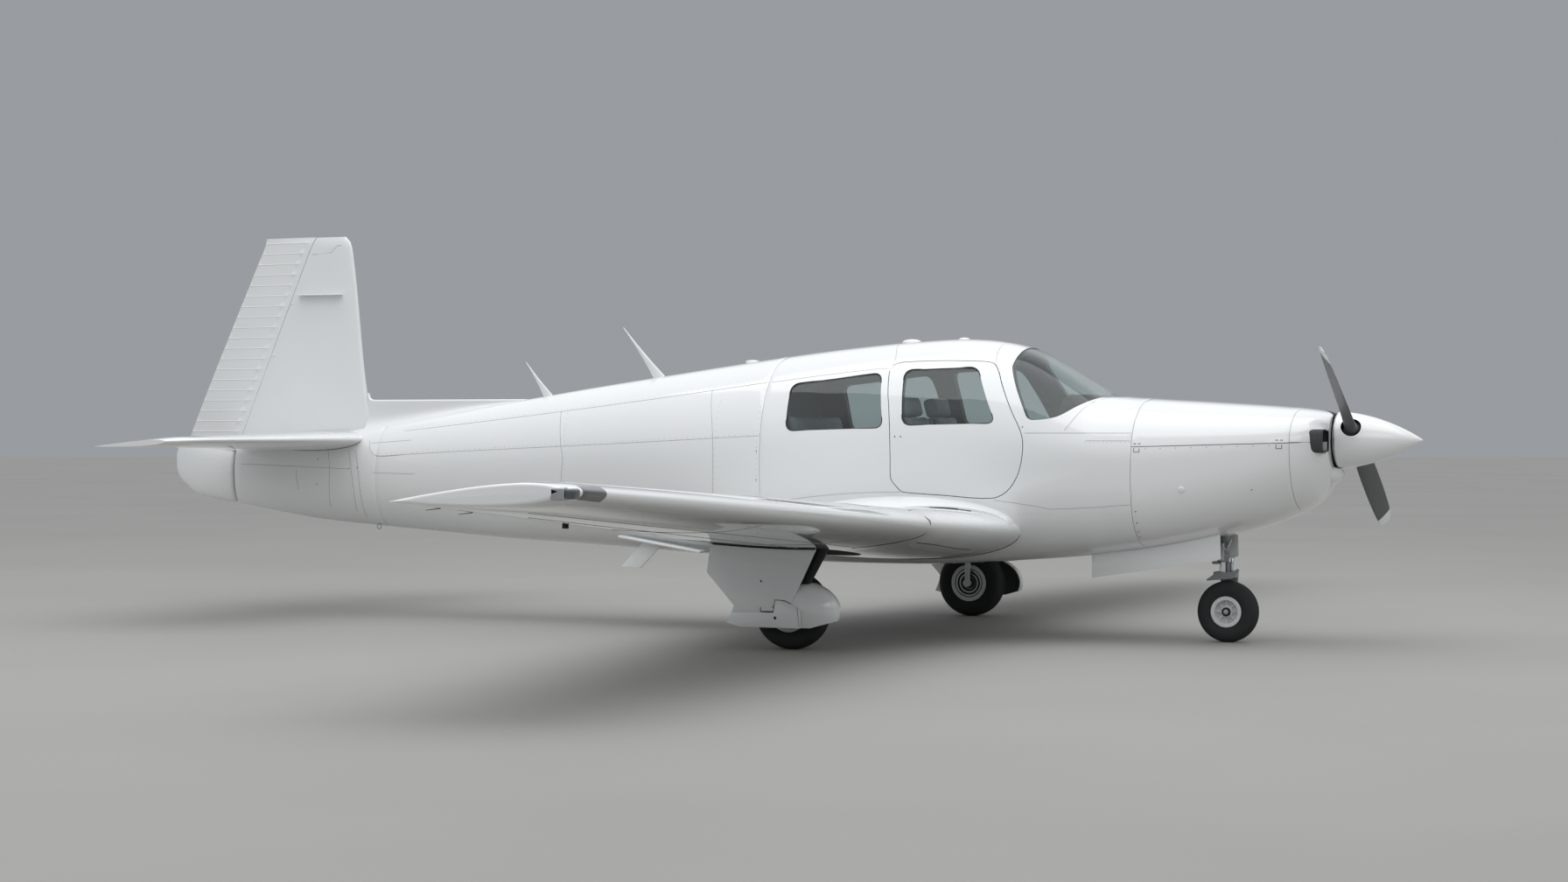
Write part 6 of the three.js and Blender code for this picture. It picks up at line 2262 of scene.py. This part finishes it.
finished(damper_rod, "steering_damper_rod", hard_chrome, body="nose_gear_fork")


# Boarding step behind the starboard wing root
def boarding_step():
    tread = side_prism([(-1602, 546), (-1050, 462), (-1050, 474), (-1598, 560)], -430, -290)
    strut = side_prism([(-1614, 366), (-1480, 362), (-1330, 512), (-1450, 532)], -367, -353)
    return cut(joined(softened(tread, 3, 60), softened(strut, 2, 60)), fuselage_solid(-2000, -800, 6))


finished(boarding_step(), "boarding_step_tread", white_paint, "boarding_step")


# Floor and light
def floor_material():
    """Power-floated pale concrete with a faint cloudy mottle."""
    material, tree = new_material("pale_concrete_floor")
    place = add(tree, "ShaderNodeTexCoord").outputs["Object"]
    cloud = add(tree, "ShaderNodeTexNoise", {"Vector": place, "Scale": 0.35, "Detail": 6.0}).outputs["Fac"]
    tone = add(
        tree, "ShaderNodeMix", {"Factor": cloud, 6: linear("#a09f9b"), 7: linear("#93928e")},
        data_type="RGBA",
    )
    shader = add(tree, "ShaderNodeBsdfPrincipled", {"Base Color": tone.outputs[2], "Roughness": 0.75})
    return surfaced(material, tree, shader.outputs["BSDF"])


FLOOR_RADIUS = 90
floor_bm = bmesh.new()
bmesh.ops.create_circle(floor_bm, cap_ends=True, radius=FLOOR_RADIUS, segments=96)
floor = placed("floor", meshed(floor_bm, "floor"))
floor.data.materials.append(floor_material())

SKY_STRENGTH = 0.94
bpy.context.scene.view_settings.view_transform = "Standard"
world = bpy.data.worlds.new("overcast")
bpy.context.scene.world = world
world.use_nodes = True
sky = world.node_tree
sky.nodes.clear()
direction = add(sky, "ShaderNodeTexCoord").outputs["Generated"]
height = add(sky, "ShaderNodeSeparateXYZ", {"Vector": direction}).outputs["Z"]
rise = add(sky, "ShaderNodeMapRange", {"Value": height, "From Min": 0.16, "From Max": 0.5})
colour = add(
    sky, "ShaderNodeMix", {"Factor": rise.outputs["Result"], 6: linear("#9da1a6"), 7: linear("#fafcff")},
    data_type="RGBA",
)
background = add(sky, "ShaderNodeBackground", {"Color": colour.outputs[2], "Strength": SKY_STRENGTH})
sky.links.new(background.outputs["Background"], add(sky, "ShaderNodeOutputWorld").inputs["Surface"])


def soft_light(name, place, target, size, power):
    data = bpy.data.lights.new(name, "AREA")
    data.shape = "RECTANGLE"
    data.size, data.size_y = size
    data.energy = power
    lamp = placed(name, data)
    lamp.location = place
    lamp.rotation_euler = (Vector(target) - Vector(place)).to_track_quat("-Z", "Y").to_euler()


soft_light("overhead_light", (1, -2, 11), (0, 0, 0.5), (16, 12), 690)
soft_light("side_light", (9, -14, 7), (0.5, 0, 0.8), (9, 6), 122)
